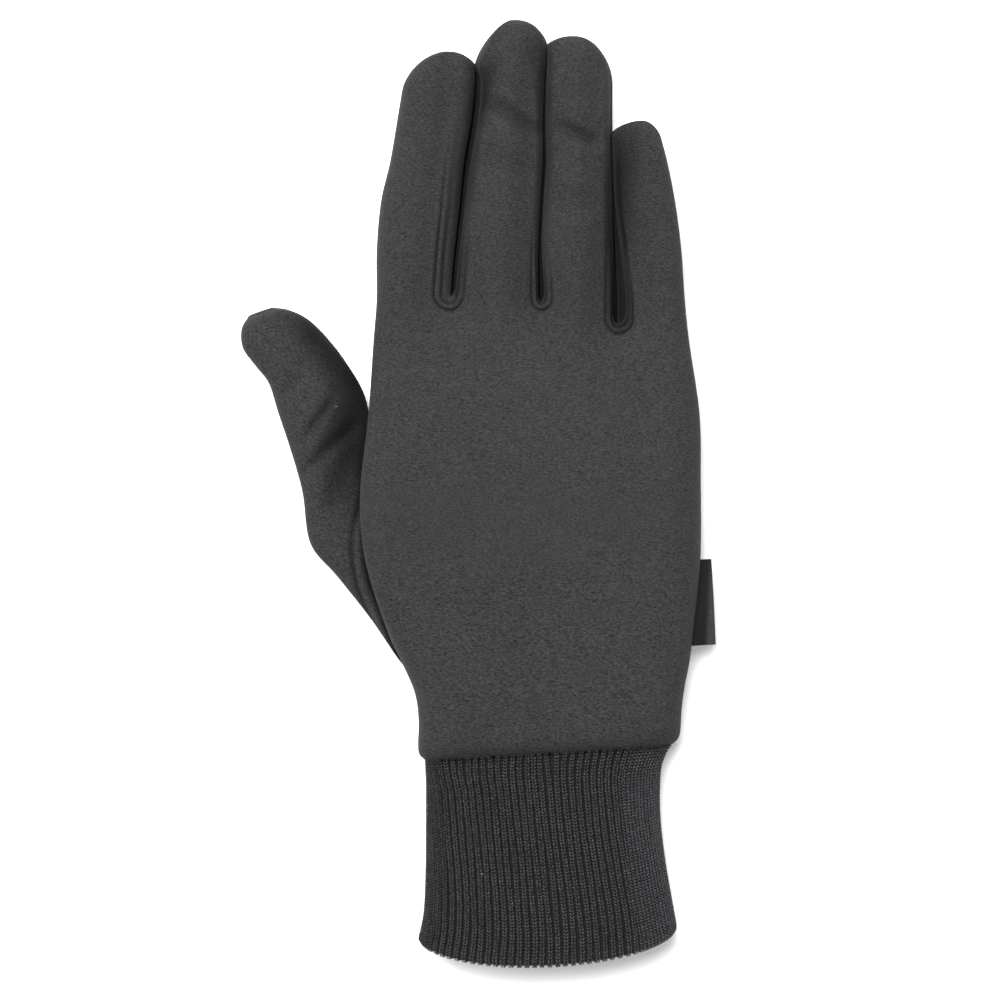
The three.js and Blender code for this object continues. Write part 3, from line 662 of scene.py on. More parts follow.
hand_normals = skin_normals(hand_points, hand_triangles)
inner_points = hand_points - CLOTH_WALL * hand_normals
painted_light_and_shade = np.zeros(len(hand_points))
shell_points = np.unique(hand_triangles[hand_cloth == SHELL])
print("shell points:", len(shell_points))


# %% The seam of a gusset, and its roll
def gusset_seam(k, own):
    seam = hand_points[np.intersect1d(own, shell_points)]
    seam = seam[seam[:, 2] > BACK_ABOVE]
    along = along_at(seam[:, 1])
    above = along - CROTCHES[k]["along"]
    left = seam_strengths[FINGERS[k]["name"] + "Right"](above)
    right = seam_strengths[FINGERS[k + 1]["name"] + "Left"](above)
    return seam, np.where(seam[:, 0] < gap_middle(k, along), left, right)


def nearest_seam(places, seam, strengths):
    away = np.linalg.norm(hand_points[places][:, None] - seam[None], axis=2)
    return away.min(1), strengths[away.argmin(1)]


def raise_roll(own, seam, strengths):
    for part in np.array_split(own, 40):
        away, strength = nearest_seam(part, seam, strengths)
        crest, tuck = bell(away, ROLL_AT, ROLL_WIDTH), bell(away, TUCK_AT, TUCK_WIDTH)
        height = ROLL_HEIGHT * crest * np.clip(away / ROLL_START, 0, 1) - TUCK_DEPTH * tuck
        hand_points[part] += (strength * height)[:, None] * hand_normals[part]
        # Painted shade on the seam's line and in the tuck, and a painted highlight on the roll's
        # crest.
        dark = bell(away, 0, LINE_WIDTH) + TUCK_SHADE * tuck
        painted_light_and_shade[part] = strength * (LINE_SHADE * dark - ROLL_PAINTED_HIGHLIGHT * crest)


# %% Painted shade on the walls and on the shell beside them
def lower_tip(k):
    return min(FINGERS[k]["tip"], FINGERS[k + 1]["tip"])


# A slit's walls are painted darker below a share of the crest's height: painted shade, faded out
# near the shorter fingertip.
def shade_walls(k, own):
    along = along_at(hand_points[own, 1])
    on_right = hand_points[own, 0] > gap_middle(k, along)
    shade_from = np.where(on_right, SLITS["wallOnRight"][k], SLITS["wallOnLeft"][k])
    deep = np.clip((shade_from - hand_points[own, 2] / crest_height(along)) / WALL_FADE, 0, 1)
    deep *= np.clip((lower_tip(k) - along - 0.03) / 0.06, 0, 1)
    painted_light_and_shade[own] = np.maximum(painted_light_and_shade[own], WALL_SHADE * deep)


# The shell beside a seam gets the same line of painted shade.
def shade_beside(own, seam, strengths):
    close = np.abs(hand_points[shell_points, 0] - seam[:, 0].mean()) < SHELL_REACH
    near = shell_points[close & (hand_points[shell_points, 1] > seam[:, 1].min() - 3)]
    near = np.setdiff1d(near[hand_points[near, 2] > BACK_ABOVE + 1], own)
    for part in np.array_split(near, 60):
        away, strength = nearest_seam(part, seam, strengths)
        line = strength * LINE_SHADE * bell(away, 0, LINE_WIDTH)
        painted_light_and_shade[part] = np.maximum(painted_light_and_shade[part], line)


# A soft band of painted shade on both sides of each slit, where the fingers' sides fall into
# shadow.
def slit_shade(k, along):
    from_slit = hand_points[:, 0] - gap_middle(k, along)
    shade = np.where(from_slit < 0, SLITS["shadeOnLeft"][k], SLITS["shadeOnRight"][k])
    grows = np.clip((along - CROTCHES[k]["along"] - 0.05) / 0.12, 0, 1)
    fades = np.clip((lower_tip(k) - along) / 0.03, 0, 1)
    return shade * bell(from_slit, 0, SLITS["reach"][k]) * grows * fades


for k in range(len(CROTCHES)):
    own = np.unique(hand_triangles[hand_cloth == k])
    seam, strengths = gusset_seam(k, own)
    raise_roll(own, seam, strengths)
    shade_walls(k, own)
    shade_beside(own, seam, strengths)
for k in range(len(CROTCHES)):
    painted_light_and_shade = np.maximum(painted_light_and_shade, slit_shade(k, along_at(hand_points[:, 1])))
# Creases add their painted shade on the back of the hand.
crease_painted_shade = creased(CREASES, *hand_points[:, :2].T, "shade")
painted_light_and_shade += crease_painted_shade * (hand_points[:, 2] > BACK_ABOVE)
# A thin painted shade along the shell's hem, where it overhangs the cuff.
above_hem = hand_points[:, 1] - y_at(0) - WRIST_TILT * hand_points[:, 0]
hem_painted_shade = HEM_SHADE * np.clip(1 - above_hem / HEM_WIDTH, 0, 1)
painted_light_and_shade = np.minimum(np.maximum(painted_light_and_shade, hem_painted_shade), DARKEST)
print("rolls raised beside", len(CROTCHES), "seams")


# %% [markdown]
# ## Give cloth its thickness and make pieces
# A piece of cloth is its outer skin, an inner skin one wall's thickness below, and a rim that
# joins them. Blender's Solidify modifier could do this, but the inner skin here comes from the
# shape before its rolls are raised, so it never folds through itself. The shade goes along with
# the points as a named attribute of the mesh.

# %% Helpers that turn skins into Blender pieces
SHADE_NAME = "painted_light_and_shade"


def walled(points, inner, triangles, shade):
    used, triangles = np.unique(triangles, return_inverse=True)
    triangles = triangles.reshape(-1, 3)
    n = len(used)
    edges = np.concatenate([triangles[:, [0, 1]], triangles[:, [1, 2]], triangles[:, [2, 0]]])
    code, back = edges[:, 0] * n + edges[:, 1], edges[:, 1] * n + edges[:, 0]
    p, q = edges[~np.isin(back, code)].T
    rim = np.concatenate([np.stack([q, p, p + n], -1), np.stack([q, p + n, q + n], -1)])
    faces = np.concatenate([triangles, triangles[:, ::-1] + n, rim])
    return np.concatenate([points[used], inner[used]]), faces, np.tile(shade[used], 2)


def make_piece(name, points, faces, finish, slot, *nodes, shade=None):
    mesh = bpy.data.meshes.new(name)
    mesh.from_pydata((np.asarray(points) * MM).tolist(), [], np.asarray(faces).tolist())
    mesh.shade_smooth()
    if shade is not None:
        shades = mesh.attributes.new(SHADE_NAME, "FLOAT", "POINT")
        shades.data.foreach_set("value", shade.astype(np.float32))
    piece = bpy.data.objects.new(name, mesh)
    bpy.context.scene.collection.objects.link(piece)
    mesh.materials.append(finish)
    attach(piece, "root")
    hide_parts(*nodes)
    print(name, "has", len(mesh.polygons), "faces")
    return piece


# %% [markdown]
# ## The look of brushed heather jersey
# Close up the cloth is never one colour: dark and light fibres are spun together, so patches a
# few millimetres wide lean to green-grey or brown-grey, and the brushed face lies in fine short
# streaks across the hand. Over the lower palm the twill-like grain of the knit shows instead.
# One node group works this out from a place on the cloth and gives a colour, a height and a
# roughness, so the shell, the gussets, the thumb and the cuff share it with their own values. A
# second, smaller group paints light and shade into a colour: it darkens it by the painted shade
# that the mesh carries, and lightens it where that number is below nought.

# %% Small helpers for node trees
def add_node(tree, kind, **settings):
    node = tree.nodes.new(kind)
    for key, value in settings.items():
        setattr(node, key, value)
    return node


def math_node(tree, operation, a, b=0.0, clamp=False):
    node = add_node(tree, "ShaderNodeMath", operation=operation, use_clamp=clamp)
    for socket, value in zip(node.inputs, (a, b)):
        if isinstance(value, (int, float)):
            socket.default_value = value
        else:
            tree.links.new(value, socket)
    return node.outputs[0]


def noise_at(tree, place, scale, detail=2.0, stretch=(1, 1, 1), turn=0.0, roughness=0.55):
    mapping = add_node(tree, "ShaderNodeMapping")
    mapping.inputs["Rotation"].default_value = (0, 0, math.radians(turn))
    mapping.inputs["Scale"].default_value = stretch
    tree.links.new(place, mapping.inputs["Vector"])
    noise = add_node(tree, "ShaderNodeTexNoise")
    noise.inputs["Scale"].default_value = scale
    noise.inputs["Detail"].default_value = detail
    noise.inputs["Roughness"].default_value = roughness
    tree.links.new(mapping.outputs[0], noise.inputs["Vector"])
    return noise.outputs["Fac"]


def ranged(tree, value, low, high, to_low, to_high):
    node = add_node(tree, "ShaderNodeMapRange")
    limits = {"From Min": low, "From Max": high, "To Min": to_low, "To Max": to_high}
    for name, number in limits.items():
        node.inputs[name].default_value = number
    tree.links.new(value, node.inputs["Value"])
    return node.outputs[0]


def mixed(tree, factor, a, b):
    node = add_node(tree, "ShaderNodeMix", data_type="RGBA")
    tree.links.new(factor, node.inputs["Factor"])
    for socket, value in ((node.inputs[6], a), (node.inputs[7], b)):
        if isinstance(value, tuple):
            socket.default_value = value
        else:
            tree.links.new(value, socket)
    return node.outputs[2]


def new_group(name, inputs, outputs):
    group = bpy.data.node_groups.new(name, "ShaderNodeTree")
    for label, kind, value in inputs:
        socket = group.interface.new_socket(label, in_out="INPUT", socket_type=kind)
        if value is not None:
            socket.default_value = value
    for label, kind in outputs:
        group.interface.new_socket(label, in_out="OUTPUT", socket_type=kind)
    return group, add_node(group, "NodeGroupInput"), add_node(group, "NodeGroupOutput")


# %% The painted shade group
def painted_shade_group():
    group, given, out = new_group(
        "painted_shade_nodes",
        [("Color", "NodeSocketColor", (0.02, 0.02, 0.02, 1)), ("Shade", "NodeSocketFloat", 0.0)],
        [("Color", "NodeSocketColor")],
    )
    scaled = add_node(group, "ShaderNodeVectorMath", operation="SCALE")
    group.links.new(given.outputs["Color"], scaled.inputs[0])
    left_over = math_node(group, "SUBTRACT", 1.0, given.outputs["Shade"])
    group.links.new(left_over, scaled.inputs["Scale"])
    group.links.new(scaled.outputs[0], out.inputs["Color"])
    return group


painted_shade_nodes = painted_shade_group()


def link_bump(tree, height, bsdf, strength, distance):
    raised = add_node(tree, "ShaderNodeBump")
    raised.inputs["Strength"].default_value = strength
    raised.inputs["Distance"].default_value = distance
    tree.links.new(height, raised.inputs["Height"])
    tree.links.new(raised.outputs[0], bsdf.inputs["Normal"])


# The painted light and shade from the mesh's attribute goes into the base colour.
def link_base_color(tree, color, bsdf):
    shaded = add_node(tree, "ShaderNodeGroup", node_tree=painted_shade_nodes)
    painted = add_node(tree, "ShaderNodeAttribute", attribute_name=SHADE_NAME).outputs["Fac"]
    tree.links.new(color, shaded.inputs["Color"])
    tree.links.new(painted, shaded.inputs["Shade"])
    tree.links.new(shaded.outputs["Color"], bsdf.inputs["Base Color"])


# %% The heather group
def heather_group():
    group, given, out = new_group(
        "heather_jersey",
        [
            ("Place", "NodeSocketVector", None),
            ("Cool", "NodeSocketColor", (0.05, 0.055, 0.054, 1)),
            ("Warm", "NodeSocketColor", (0.06, 0.055, 0.052, 1)),
            ("Contrast", "NodeSocketFloat", 1.0),
            ("Grain", "NodeSocketFloat", 0.0),
        ],
        [
            ("Color", "NodeSocketColor"),
            ("Height", "NodeSocketFloat"),
            ("Roughness", "NodeSocketFloat"),
        ],
    )
    place = given.outputs["Place"]

    def around_nought(value, strength):
        return math_node(group, "MULTIPLY", math_node(group, "SUBTRACT", value, 0.5), strength)

    patches = ranged(group, noise_at(group, place, 360, 4, roughness=0.7), 0.36, 0.64, 0, 1)
    tint = mixed(group, patches, given.outputs["Cool"], given.outputs["Warm"])
    mottle = noise_at(group, place, 420, 3)
    streaks = noise_at(group, place, 1.0, 2, (1100, 2700, 1600))
    fuzz = noise_at(group, place, 2600, 2)
    grain = noise_at(group, place, 1.0, 1, (1100, 2600, 1600), 32)
    weave = mixed(group, given.outputs["Grain"], streaks, grain)
    total = math_node(group, "ADD", around_nought(mottle, 0.6), around_nought(weave, 2.6))
    total = math_node(group, "ADD", total, around_nought(fuzz, 1.6))
    total = math_node(group, "ADD", total, around_nought(noise_at(group, place, 32, 2), 0.3))
    contrast = math_node(group, "MULTIPLY", total, given.outputs["Contrast"])
    lit = math_node(group, "ADD", 1.0, contrast)
    shade = add_node(group, "ShaderNodeVectorMath", operation="SCALE")
    group.links.new(tint, shade.inputs[0])
    group.links.new(lit, shade.inputs["Scale"])
    group.links.new(shade.outputs[0], out.inputs["Color"])
    height = math_node(group, "ADD", weave, math_node(group, "MULTIPLY", fuzz, 0.6))
    group.links.new(height, out.inputs["Height"])
    group.links.new(ranged(group, mottle, 0.3, 0.7, 0.86, 0.98), out.inputs["Roughness"])
    return group


heather = heather_group()


def cloth_material(
    name, cool, warm, contrast, turn=0.0, twill=False,
    bump=(0.35, 0.0004), specular=0.1, sheen=(0.03, 0.55),
):
    material = bpy.data.materials.new(name)
    material.use_nodes = True
    tree = material.node_tree
    bsdf = tree.nodes["Principled BSDF"]
    place = add_node(tree, "ShaderNodeTexCoord").outputs["Object"]
    if turn:
        mapping = add_node(tree, "ShaderNodeMapping")
        mapping.inputs["Rotation"].default_value = (0, 0, math.radians(turn))
        tree.links.new(place, mapping.inputs["Vector"])
        place = mapping.outputs[0]
    cloth = add_node(tree, "ShaderNodeGroup", node_tree=heather)
    tree.links.new(place, cloth.inputs["Place"])
    cloth.inputs["Cool"].default_value = (*cool, 1)
    cloth.inputs["Warm"].default_value = (*warm, 1)
    cloth.inputs["Contrast"].default_value = contrast
    if twill:
        split = add_node(tree, "ShaderNodeSeparateXYZ")
        tree.links.new(place, split.inputs[0])
        grain = ranged(tree, split.outputs["Y"], 0.02, -0.015, 0, 1)
        tree.links.new(grain, cloth.inputs["Grain"])
    link_bump(tree, cloth.outputs["Height"], bsdf, *bump)
    link_base_color(tree, cloth.outputs["Color"], bsdf)
    tree.links.new(cloth.outputs["Roughness"], bsdf.inputs["Roughness"])
    bsdf.inputs["Specular IOR Level"].default_value = specular
    bsdf.inputs["Sheen Weight"].default_value, bsdf.inputs["Sheen Roughness"].default_value = sheen
    return material


SHELL_COOL, SHELL_WARM = (0.0183, 0.0202, 0.0199), (0.0204, 0.0199, 0.0192)
GUSSET_COOL, GUSSET_WARM = (0.0182, 0.0194, 0.0189), (0.0194, 0.0192, 0.0187)
shell_finish = cloth_material("brushed_shell_jersey", SHELL_COOL, SHELL_WARM, 0.9, twill=True)
gusset_finish = cloth_material("gusset_jersey", GUSSET_COOL, GUSSET_WARM, 0.75)
thumb_finish = cloth_material("thumb_jersey", SHELL_COOL, SHELL_WARM, 1.0, turn=24)
print("cloth finishes:", shell_finish.name, gusset_finish.name, thumb_finish.name)

# %% Shell and gussets
def cloth_piece(name, kind, finish, slot, node):
    triangles = hand_triangles[hand_cloth == kind]
    points, faces, shade = walled(hand_points, inner_points, triangles, painted_light_and_shade)
    return make_piece(name, points, faces, finish, slot, node, shade=shade)


cloth_piece("hand_cloth", SHELL, shell_finish, "shell_cloth", "hand_shell")
for k, crotch in enumerate(CROTCHES):
    node = "gusset_" + crotch["between"]
    cloth_piece(node + "_cloth", k, gusset_finish, "gusset_cloth", node)

# %% [markdown]
# ## The thumb
# The thumb is a tube of the same jersey that leans out beside the palm and runs back beneath it.
# It is lofted through thirteen sections, smoothed along its length. Where the palm lies on it the
# tube is pressed down under the palm, as real cloth would be, so the two never cut through each
# other, and just outside the palm's edge the cloth sinks into a hollow. Its seam is a low roll
# between two grooves. Simple loops of points are enough here, since each ring is one closed oval.

# %% Sections of the thumb
THUMB_SECTIONS = table(
    "order outerX outerAlong innerX innerAlong top",
    (0, 0.885, 0.597, 0.695, 0.609, 0.45), (1, 0.937, 0.578, 0.565, 0.605, 0.78),
    (2, 0.923, 0.552, 0.417, 0.592, 0.93), (3, 0.819, 0.527, 0.26, 0.565, 1.0),
    (4, 0.72, 0.504, 0.11, 0.53, 1.0), (5, 0.65, 0.465, -0.025, 0.487, 0.97),
    (6, 0.547, 0.41, -0.1, 0.426, 0.88), (7, 0.461, 0.355, -0.208, 0.358, 0.83),
    (8, 0.399, 0.285, -0.394, 0.283, 0.82), (9, 0.189, 0.24, -0.519, 0.215, 0.8),
    (10, -0.075, 0.181, -0.612, 0.165, 0.72), (11, -0.27, 0.13, -0.659, 0.126, 0.5),
    (12, -0.375, 0.107, -0.662, 0.108, 0.3),
)
THUMB_STEPS = 144
THUMB_ROWS = 220
THUMB_DROOP = 0.25
DROOP_FROM = 0.3
THUMB_SQUARENESS = 0.85
thumb_curves = {column: through(THUMB_SECTIONS, "order", column) for column in THUMB_SECTIONS}
print("thumb sections:", len(THUMB_SECTIONS["order"]))


# %% The hollow, the seam and the press of the palm
HOLLOW_WIDTH = 14
HOLLOW_UNDER = 5
HOLLOW = table(
    "along depth",
    (0.1, 0.4), (0.2, 1.2), (0.3, 2.4), (0.36, 4.5), (0.44, 7), (0.53, 7), (0.6, 3),
)
THUMB_SEAM = np.array([
    (-47.2, 11.5, 0.5), (-48.2, 8.0, 1), (-49.2, 3.6, 1), (-49.6, -1.4, 1),
    (-49.3, -6.7, 1), (-48.1, -12.6, 1), (-46.3, -17.1, 1), (-43.9, -22.1, 1),
    (-40.6, -27.4, 0.9), (-36.6, -33.3, 0.6), (-34.5, -36.5, 0),
])
THUMB_ROLL = 1.1
THUMB_WAVES = 0.6
PRESS_GAP = 0.35
PRESS_EASE = 1.5
LOWEST = 0.05
thumb_hollow = through(HOLLOW, "along", "depth")


def hollow_depth(along, beside):
    ease = 0.5 + 0.5 * np.cos(math.pi * np.clip(beside / HOLLOW_WIDTH, 0, 1))
    under = bell(np.minimum(beside, 0), 0, HOLLOW_UNDER)
    return thumb_hollow(along) * np.where(beside > 0, ease, 1) * under


def seam_roll(x, y, beside):
    away, strength = nearest_on_chain(x, y, THUMB_SEAM)
    grooves = bell(away, 1.9, 0.55) * (beside > 0)
    return strength * THUMB_ROLL * (bell(away, 0, 0.75) - 0.75 * grooves)


def pressed_down(x, z, along, beside):
    limit = np.maximum(bottom_height(x, along) - PRESS_GAP, LOWEST)
    near = np.clip((PRESS_EASE - beside) / PRESS_EASE, 0, 1)
    z = np.where((z > limit) & (near > 0), mix(z, limit, near), z)
    return np.where(beside < 0, np.minimum(z, limit), z)


# %% Rings of the thumb
def thumb_ring(order, shrink=1.0):
    at = {column: float(curve(order)) for column, curve in thumb_curves.items()}
    edge = PALM_WIDTH * OUTER_EDGES["left"].min()
    outer = np.array([edge - at["outerX"] * THUMB_REACH, y_at(at["outerAlong"])])
    inner = np.array([edge - at["innerX"] * THUMB_REACH, y_at(at["innerAlong"])])
    turn = 2 * math.pi * np.arange(THUMB_STEPS) / THUMB_STEPS
    lift = np.abs(np.sin(turn))
    inwards = np.clip((0.5 - 0.5 * np.cos(turn) - DROOP_FROM) / (1 - DROOP_FROM), 0, 1)
    top = at["top"] * THUMB_THICKNESS * (1 - THUMB_DROOP * inwards ** 1.6)
    side = SIDE_SHARE * top
    across = np.sign(np.cos(turn)) * np.abs(np.cos(turn)) ** THUMB_SQUARENESS
    x, y = (mix(outer[k], inner[k], 0.5 - 0.5 * across * shrink) for k in range(2))
    upper = side + (top - side) * shrink * lift ** THUMB_SQUARENESS
    lower = side - side * shrink * np.minimum(1, 1.12 * lift ** 0.8)
    along = along_at(y)
    beside = PALM_WIDTH * outer_left(along) - x
    crease = FINGER_THICKNESS * creased(THUMB_CREASES, x, y) * lift
    roll = seam_roll(x, y, beside) * lift
    upper = upper - crease - hollow_depth(along, beside) * lift + roll
    upper = upper + THUMB_WAVES * slow_waves(y, x) * lift
    upper = np.maximum(upper, mix(side, lower, 0.75) + 0.1)
    z = pressed_down(x, np.where(np.sin(turn) > 0, upper, lower), along, beside)
    return np.stack([x, y, z], -1)


def thumb_skin():
    skin = Skin()
    tip = [thumb_ring(0.0, s) for s in (0.35, 0.6, 0.8, 0.93)]
    rings = tip + [thumb_ring(order) for order in np.linspace(0, 12, THUMB_ROWS)]
    rings = rings[::-1]
    skin.loft(rings, [np.full(THUMB_STEPS, SHELL)] * len(rings))
    skin.lid(rings[0], True, SHELL)
    skin.lid(rings[-1], False, SHELL)
    return skin.welded()


thumb_points, thumb_triangles, _ = thumb_skin()
print("skin of the thumb:", len(thumb_points), "points")


# %% [markdown]
# ## Painted shades of the thumb
# As on the hand, the thumb's colour carries painted shade, and a painted highlight on its seam's
# roll. It has painted shade in its seam's grooves, along the palm's edge, where it goes deeper
# towards the fingers, and along the tip's inner rim, which turns away from the light. The shades
# could be painted by hand on the mesh, but short tables keep them easy to change.

# %% The thumb's painted shades, and the piece
EDGE_SHADE = table(
    "along shade", (0.3, 0), (0.36, 0.32), (0.42, 0.62), (0.5, 0.64), (0.58, 0.3),
)
EDGE_WIDTH = 7
THUMB_RIM = np.array([
    (-78, 63.5, 0), (-73, 65.5, 0.3), (-67.5, 64.2, 0.5), (-61.8, 59.3, 1),
    (-56.8, 54.3, 1), (-52.5, 47.8, 1), (-48, 40, 1), (-46, 34, 1),
])
RIM_SHADE = 0.84
THUMB_DARKEST = 0.88


def thumb_shades(x, y):
    along = along_at(y)
    away, strength = nearest_on_chain(x, y, THUMB_SEAM)
    shade = strength * (0.68 * bell(away, 1.8, 0.5) - 0.2 * bell(away, 0, 0.7))
    beside = np.maximum(PALM_WIDTH * outer_left(along) - x, 0)
    shade += 0.4 * bell(beside, 0, 1.6) + creased(THUMB_CREASES, x, y, "shade")
    shade += through(EDGE_SHADE, "along", "shade")(along) * bell(beside, 0, EDGE_WIDTH)
    away, strength = nearest_on_chain(x, y, THUMB_RIM)
    rim = RIM_SHADE * strength * bell(away, 0, 2 + 3.8 * strength)
    return np.minimum(np.maximum(shade, rim), THUMB_DARKEST)


make_piece(
    "thumb_cloth", thumb_points, thumb_triangles, thumb_finish, "shell_cloth", "thumb",
    shade=thumb_shades(*thumb_points[:, :2].T),
)

# %% [markdown]
# ## The ribbed cuff, ground first
# In one by one rib, columns of plain stitches stand up and columns of purl stitches sink between
# them. The ground is a tube of soft ribs, doubled at the hem. It is drawn on a grid with a row
# for every course of stitches, so the same grid then says where each stitch sits and which way
# it faces. Lying flat, real rib draws together at its two upper edges, so the ribs are packed
# closer there. At the wrist the section is squarer, so the cuff fills the mouth of the hand.

# %% Sizes of the cuff
CUFF_SECTIONS = table(
    "down left right top",
    (0.0, -0.5, 0.5, 0.86), (0.06, -0.498, 0.475, 0.92), (0.13, -0.496, 0.46, 0.95),
    (0.35, -0.496, 0.456, 0.94), (0.6, -0.497, 0.475, 0.97), (0.85, -0.506, 0.506, 1.02),
    (1.0, -0.53, 0.526, 1.06),
)
WRIST_LEFT = PALM_WIDTH * OUTER_EDGES["left"][0] + CUFF_INSET
WRIST_RIGHT = PALM_WIDTH * OUTER_EDGES["right"][0] - CUFF_INSET
WRIST_CENTRE = 0.5 * (WRIST_LEFT + WRIST_RIGHT)
WRIST_WIDTH = WRIST_RIGHT - WRIST_LEFT
COURSE = 0.86
RIB_COLUMNS = 4
SECTION_STEPS = 720
FLOOR_GAP = 0.27
CUFF_SIDE_SHARE = 0.46
SAG_SHARE = 0.6
SIDE_PACKING = 1.1
LEFT_SHARE = 0.4
RIGHT_BAND, RIGHT_EASE = 12, 5
LEFT_BAND, LEFT_EASE = 6, 3
UNDER_PACKING = 0.88
CUFF_SQUARE_WRIST = 0.5
CUFF_SQUARE_HEM = 0.8
CUFF_SQUARE_TO = 0.16
CUFF_EDGES = ("left", "right", "top")
cuff_curves = {column: through(CUFF_SECTIONS, "down", column) for column in CUFF_EDGES}
print("wrist width:", round(WRIST_WIDTH, 1), "mm")


# %% One row of the cuff's grid
def cuff_packing(x, left, right, high):
    at_right = SIDE_PACKING * np.clip((x - right + RIGHT_BAND) / RIGHT_EASE, 0, 1)
    at_left = LEFT_SHARE * SIDE_PACKING * np.clip((left + LEFT_BAND - x) / LEFT_EASE, 0, 1)
    return np.where(high, 1 + (at_right + at_left), UNDER_PACKING)


def cuff_section(down, left, right, base, top):
    turn = math.pi - 2 * math.pi * np.arange(SECTION_STEPS + 1) / SECTION_STEPS
    eased = min(1.0, down / CUFF_SQUARE_TO)
    squareness = mix(CUFF_SQUARE_WRIST, CUFF_SQUARE_HEM, eased)
    swell = np.abs(np.sin(turn)) ** squareness
    across = np.sign(np.cos(turn)) * np.abs(np.cos(turn)) ** squareness
    middle = mix(base, top, CUFF_SIDE_SHARE)
    lower = np.maximum(base, mix(middle, base, 1.15 * swell))
    high = np.sin(turn) > 0
    x = mix(left, right, 0.5 + 0.5 * across)
    return x, np.where(high, mix(middle, top, swell), lower), high


def cuff_row(down, inset, shares):
    at = {column: float(curve(down)) for column, curve in cuff_curves.items()}
    left = WRIST_CENTRE + WRIST_WIDTH * at["left"] + inset
    right = WRIST_CENTRE + WRIST_WIDTH * at["right"] - inset
    base = inset + FLOOR_GAP
    top = mix(WRIST_THICKNESS, HEM_THICKNESS, down) * at["top"] - inset
    x, z, high = cuff_section(down, left, right, base, top)
    length = np.concatenate([[0], np.cumsum(np.hypot(np.diff(x), np.diff(z)))])
    packed = np.cumsum(cuff_packing(x, left, right, high) * np.gradient(length))
    length = (packed - packed[0]) / (packed[-1] - packed[0]) * length[-1]
    want = (shares * length[-1] - RIB_TWIST * (1 - down) ** 2) % length[-1]
    px, pz = np.interp(want, length, x), np.interp(want, length, z)
    upness = np.clip((pz - base) / (top - base), 0, 1)
    across = np.clip(np.abs((2 * px - left - right) / (right - left)), 0, 1)
    sag = 0.88 * HEM_SAG * np.sqrt(upness * (1 - across ** 2))
    seam = y_at(0) - 0.3 + WRIST_TILT * px
    hem = y_at(0) - CUFF_LENGTH + 0.7 * WRIST_TILT * px - sag
    return np.stack([px, mix(seam, hem, down), pz], -1)


# %% The grid of the cuff
def cuff_grid(shares):
    half = CUFF_WALL / 2
    reach = CUFF_LENGTH + SAG_SHARE * HEM_SAG
    outer = list(np.arange(0, reach - half, COURSE) / reach)
    rows = [cuff_row(down, 0, shares) for down in outer]
    for swing in np.linspace(0, math.pi, 7)[1:]:
        down = mix(outer[-1], 1, math.sin(swing))
        rows.append(cuff_row(down, half * (1 - math.cos(swing)), shares))
    rows += [cuff_row(down, CUFF_WALL, shares) for down in np.linspace(outer[-1], 0, 14)[1:]]
    return np.stack(rows), len(outer) - 1


def of_length_one(vectors):
    return vectors / np.linalg.norm(vectors, axis=2, keepdims=True)


rib_shares = np.arange(RIB_COUNT * RIB_COLUMNS) / (RIB_COUNT * RIB_COLUMNS)
cuff_points, courses = cuff_grid(rib_shares)
around = of_length_one(np.roll(cuff_points, -1, 1) - np.roll(cuff_points, 1, 1))
downwards = of_length_one(np.gradient(cuff_points, axis=0))
upwards = -downwards
outwards = of_length_one(np.cross(downwards, around))
if outwards[20, RIB_COUNT, 2] < 0:
    outwards = -outwards
print("cuff grid:", cuff_points.shape, "with", courses, "courses outside")


# %% The ground of the cuff
GROUND_DEPTH = 1.0
INSIDE_SHARE = 0.55
EVENED_OUT = 0.55


def facing_out(points, faces):
    v = points[faces]
    volume = np.einsum("ij,ij->i", v[:, 0], np.cross(v[:, 1], v[:, 2])).sum() / 6
    return faces if volume > 0 else faces[:, ::-1]


phase = 2 * math.pi * RIB_COUNT * rib_shares
rise = GROUND_DEPTH * (0.5 * np.cos(phase) - 0.75)
ramp = np.ones(len(cuff_points))
ramp[courses - 1:] = INSIDE_SHARE
row_high = cuff_points[..., 2] > cuff_points[..., 2].mean(1, keepdims=True)
right_edge = cuff_points[..., 0].max(1, keepdims=True)
left_edge = cuff_points[..., 0].min(1, keepdims=True)
smooth = row_high * np.clip((cuff_points[..., 0] - right_edge + RIGHT_BAND) / RIGHT_EASE, 0, 1)
ground = cuff_points + (rise * ramp[:, None] * (1 - EVENED_OUT * smooth))[..., None] * outwards
index = np.arange(ground[..., 0].size).reshape(ground.shape[:2])
a, b = index, np.roll(index, -1, 1)
d, c = np.roll(a, -1, 0), np.roll(b, -1, 0)
halves = [np.stack(corners, -1).reshape(-1, 3) for corners in ((a, c, b), (a, d, c))]
ground_flat = ground.reshape(-1, 3)
cuff_faces = facing_out(ground_flat, np.concatenate(halves))
print("ground of the cuff:", len(cuff_faces), "faces")

# %% [markdown]
# ## The stitches of the cuff
# Every plain stitch shows as a V of two yarn legs, point towards the hem. A leg is a short
# spindle of yarn that comes out from under the stitch below, lies over the rib and goes in under
# the next. All the legs are copies of one spindle, set into the frame of the grid at their place:
# thousands of stitches from one small shape. A texture could fake them, but real legs give the
# light, the shadow between ribs and the scalloped hem for nothing.

# %% One yarn leg
LEG_SIDES = 5
LEG_STATIONS = table(
    "across up out thick",
    (0.1, -0.6, -0.34, 0.0), (0.24, -0.2, 0.15, 0.19),
    (0.5, 0.2, 0.14, 0.2), (0.7, 0.64, -0.5, 0.0),
)


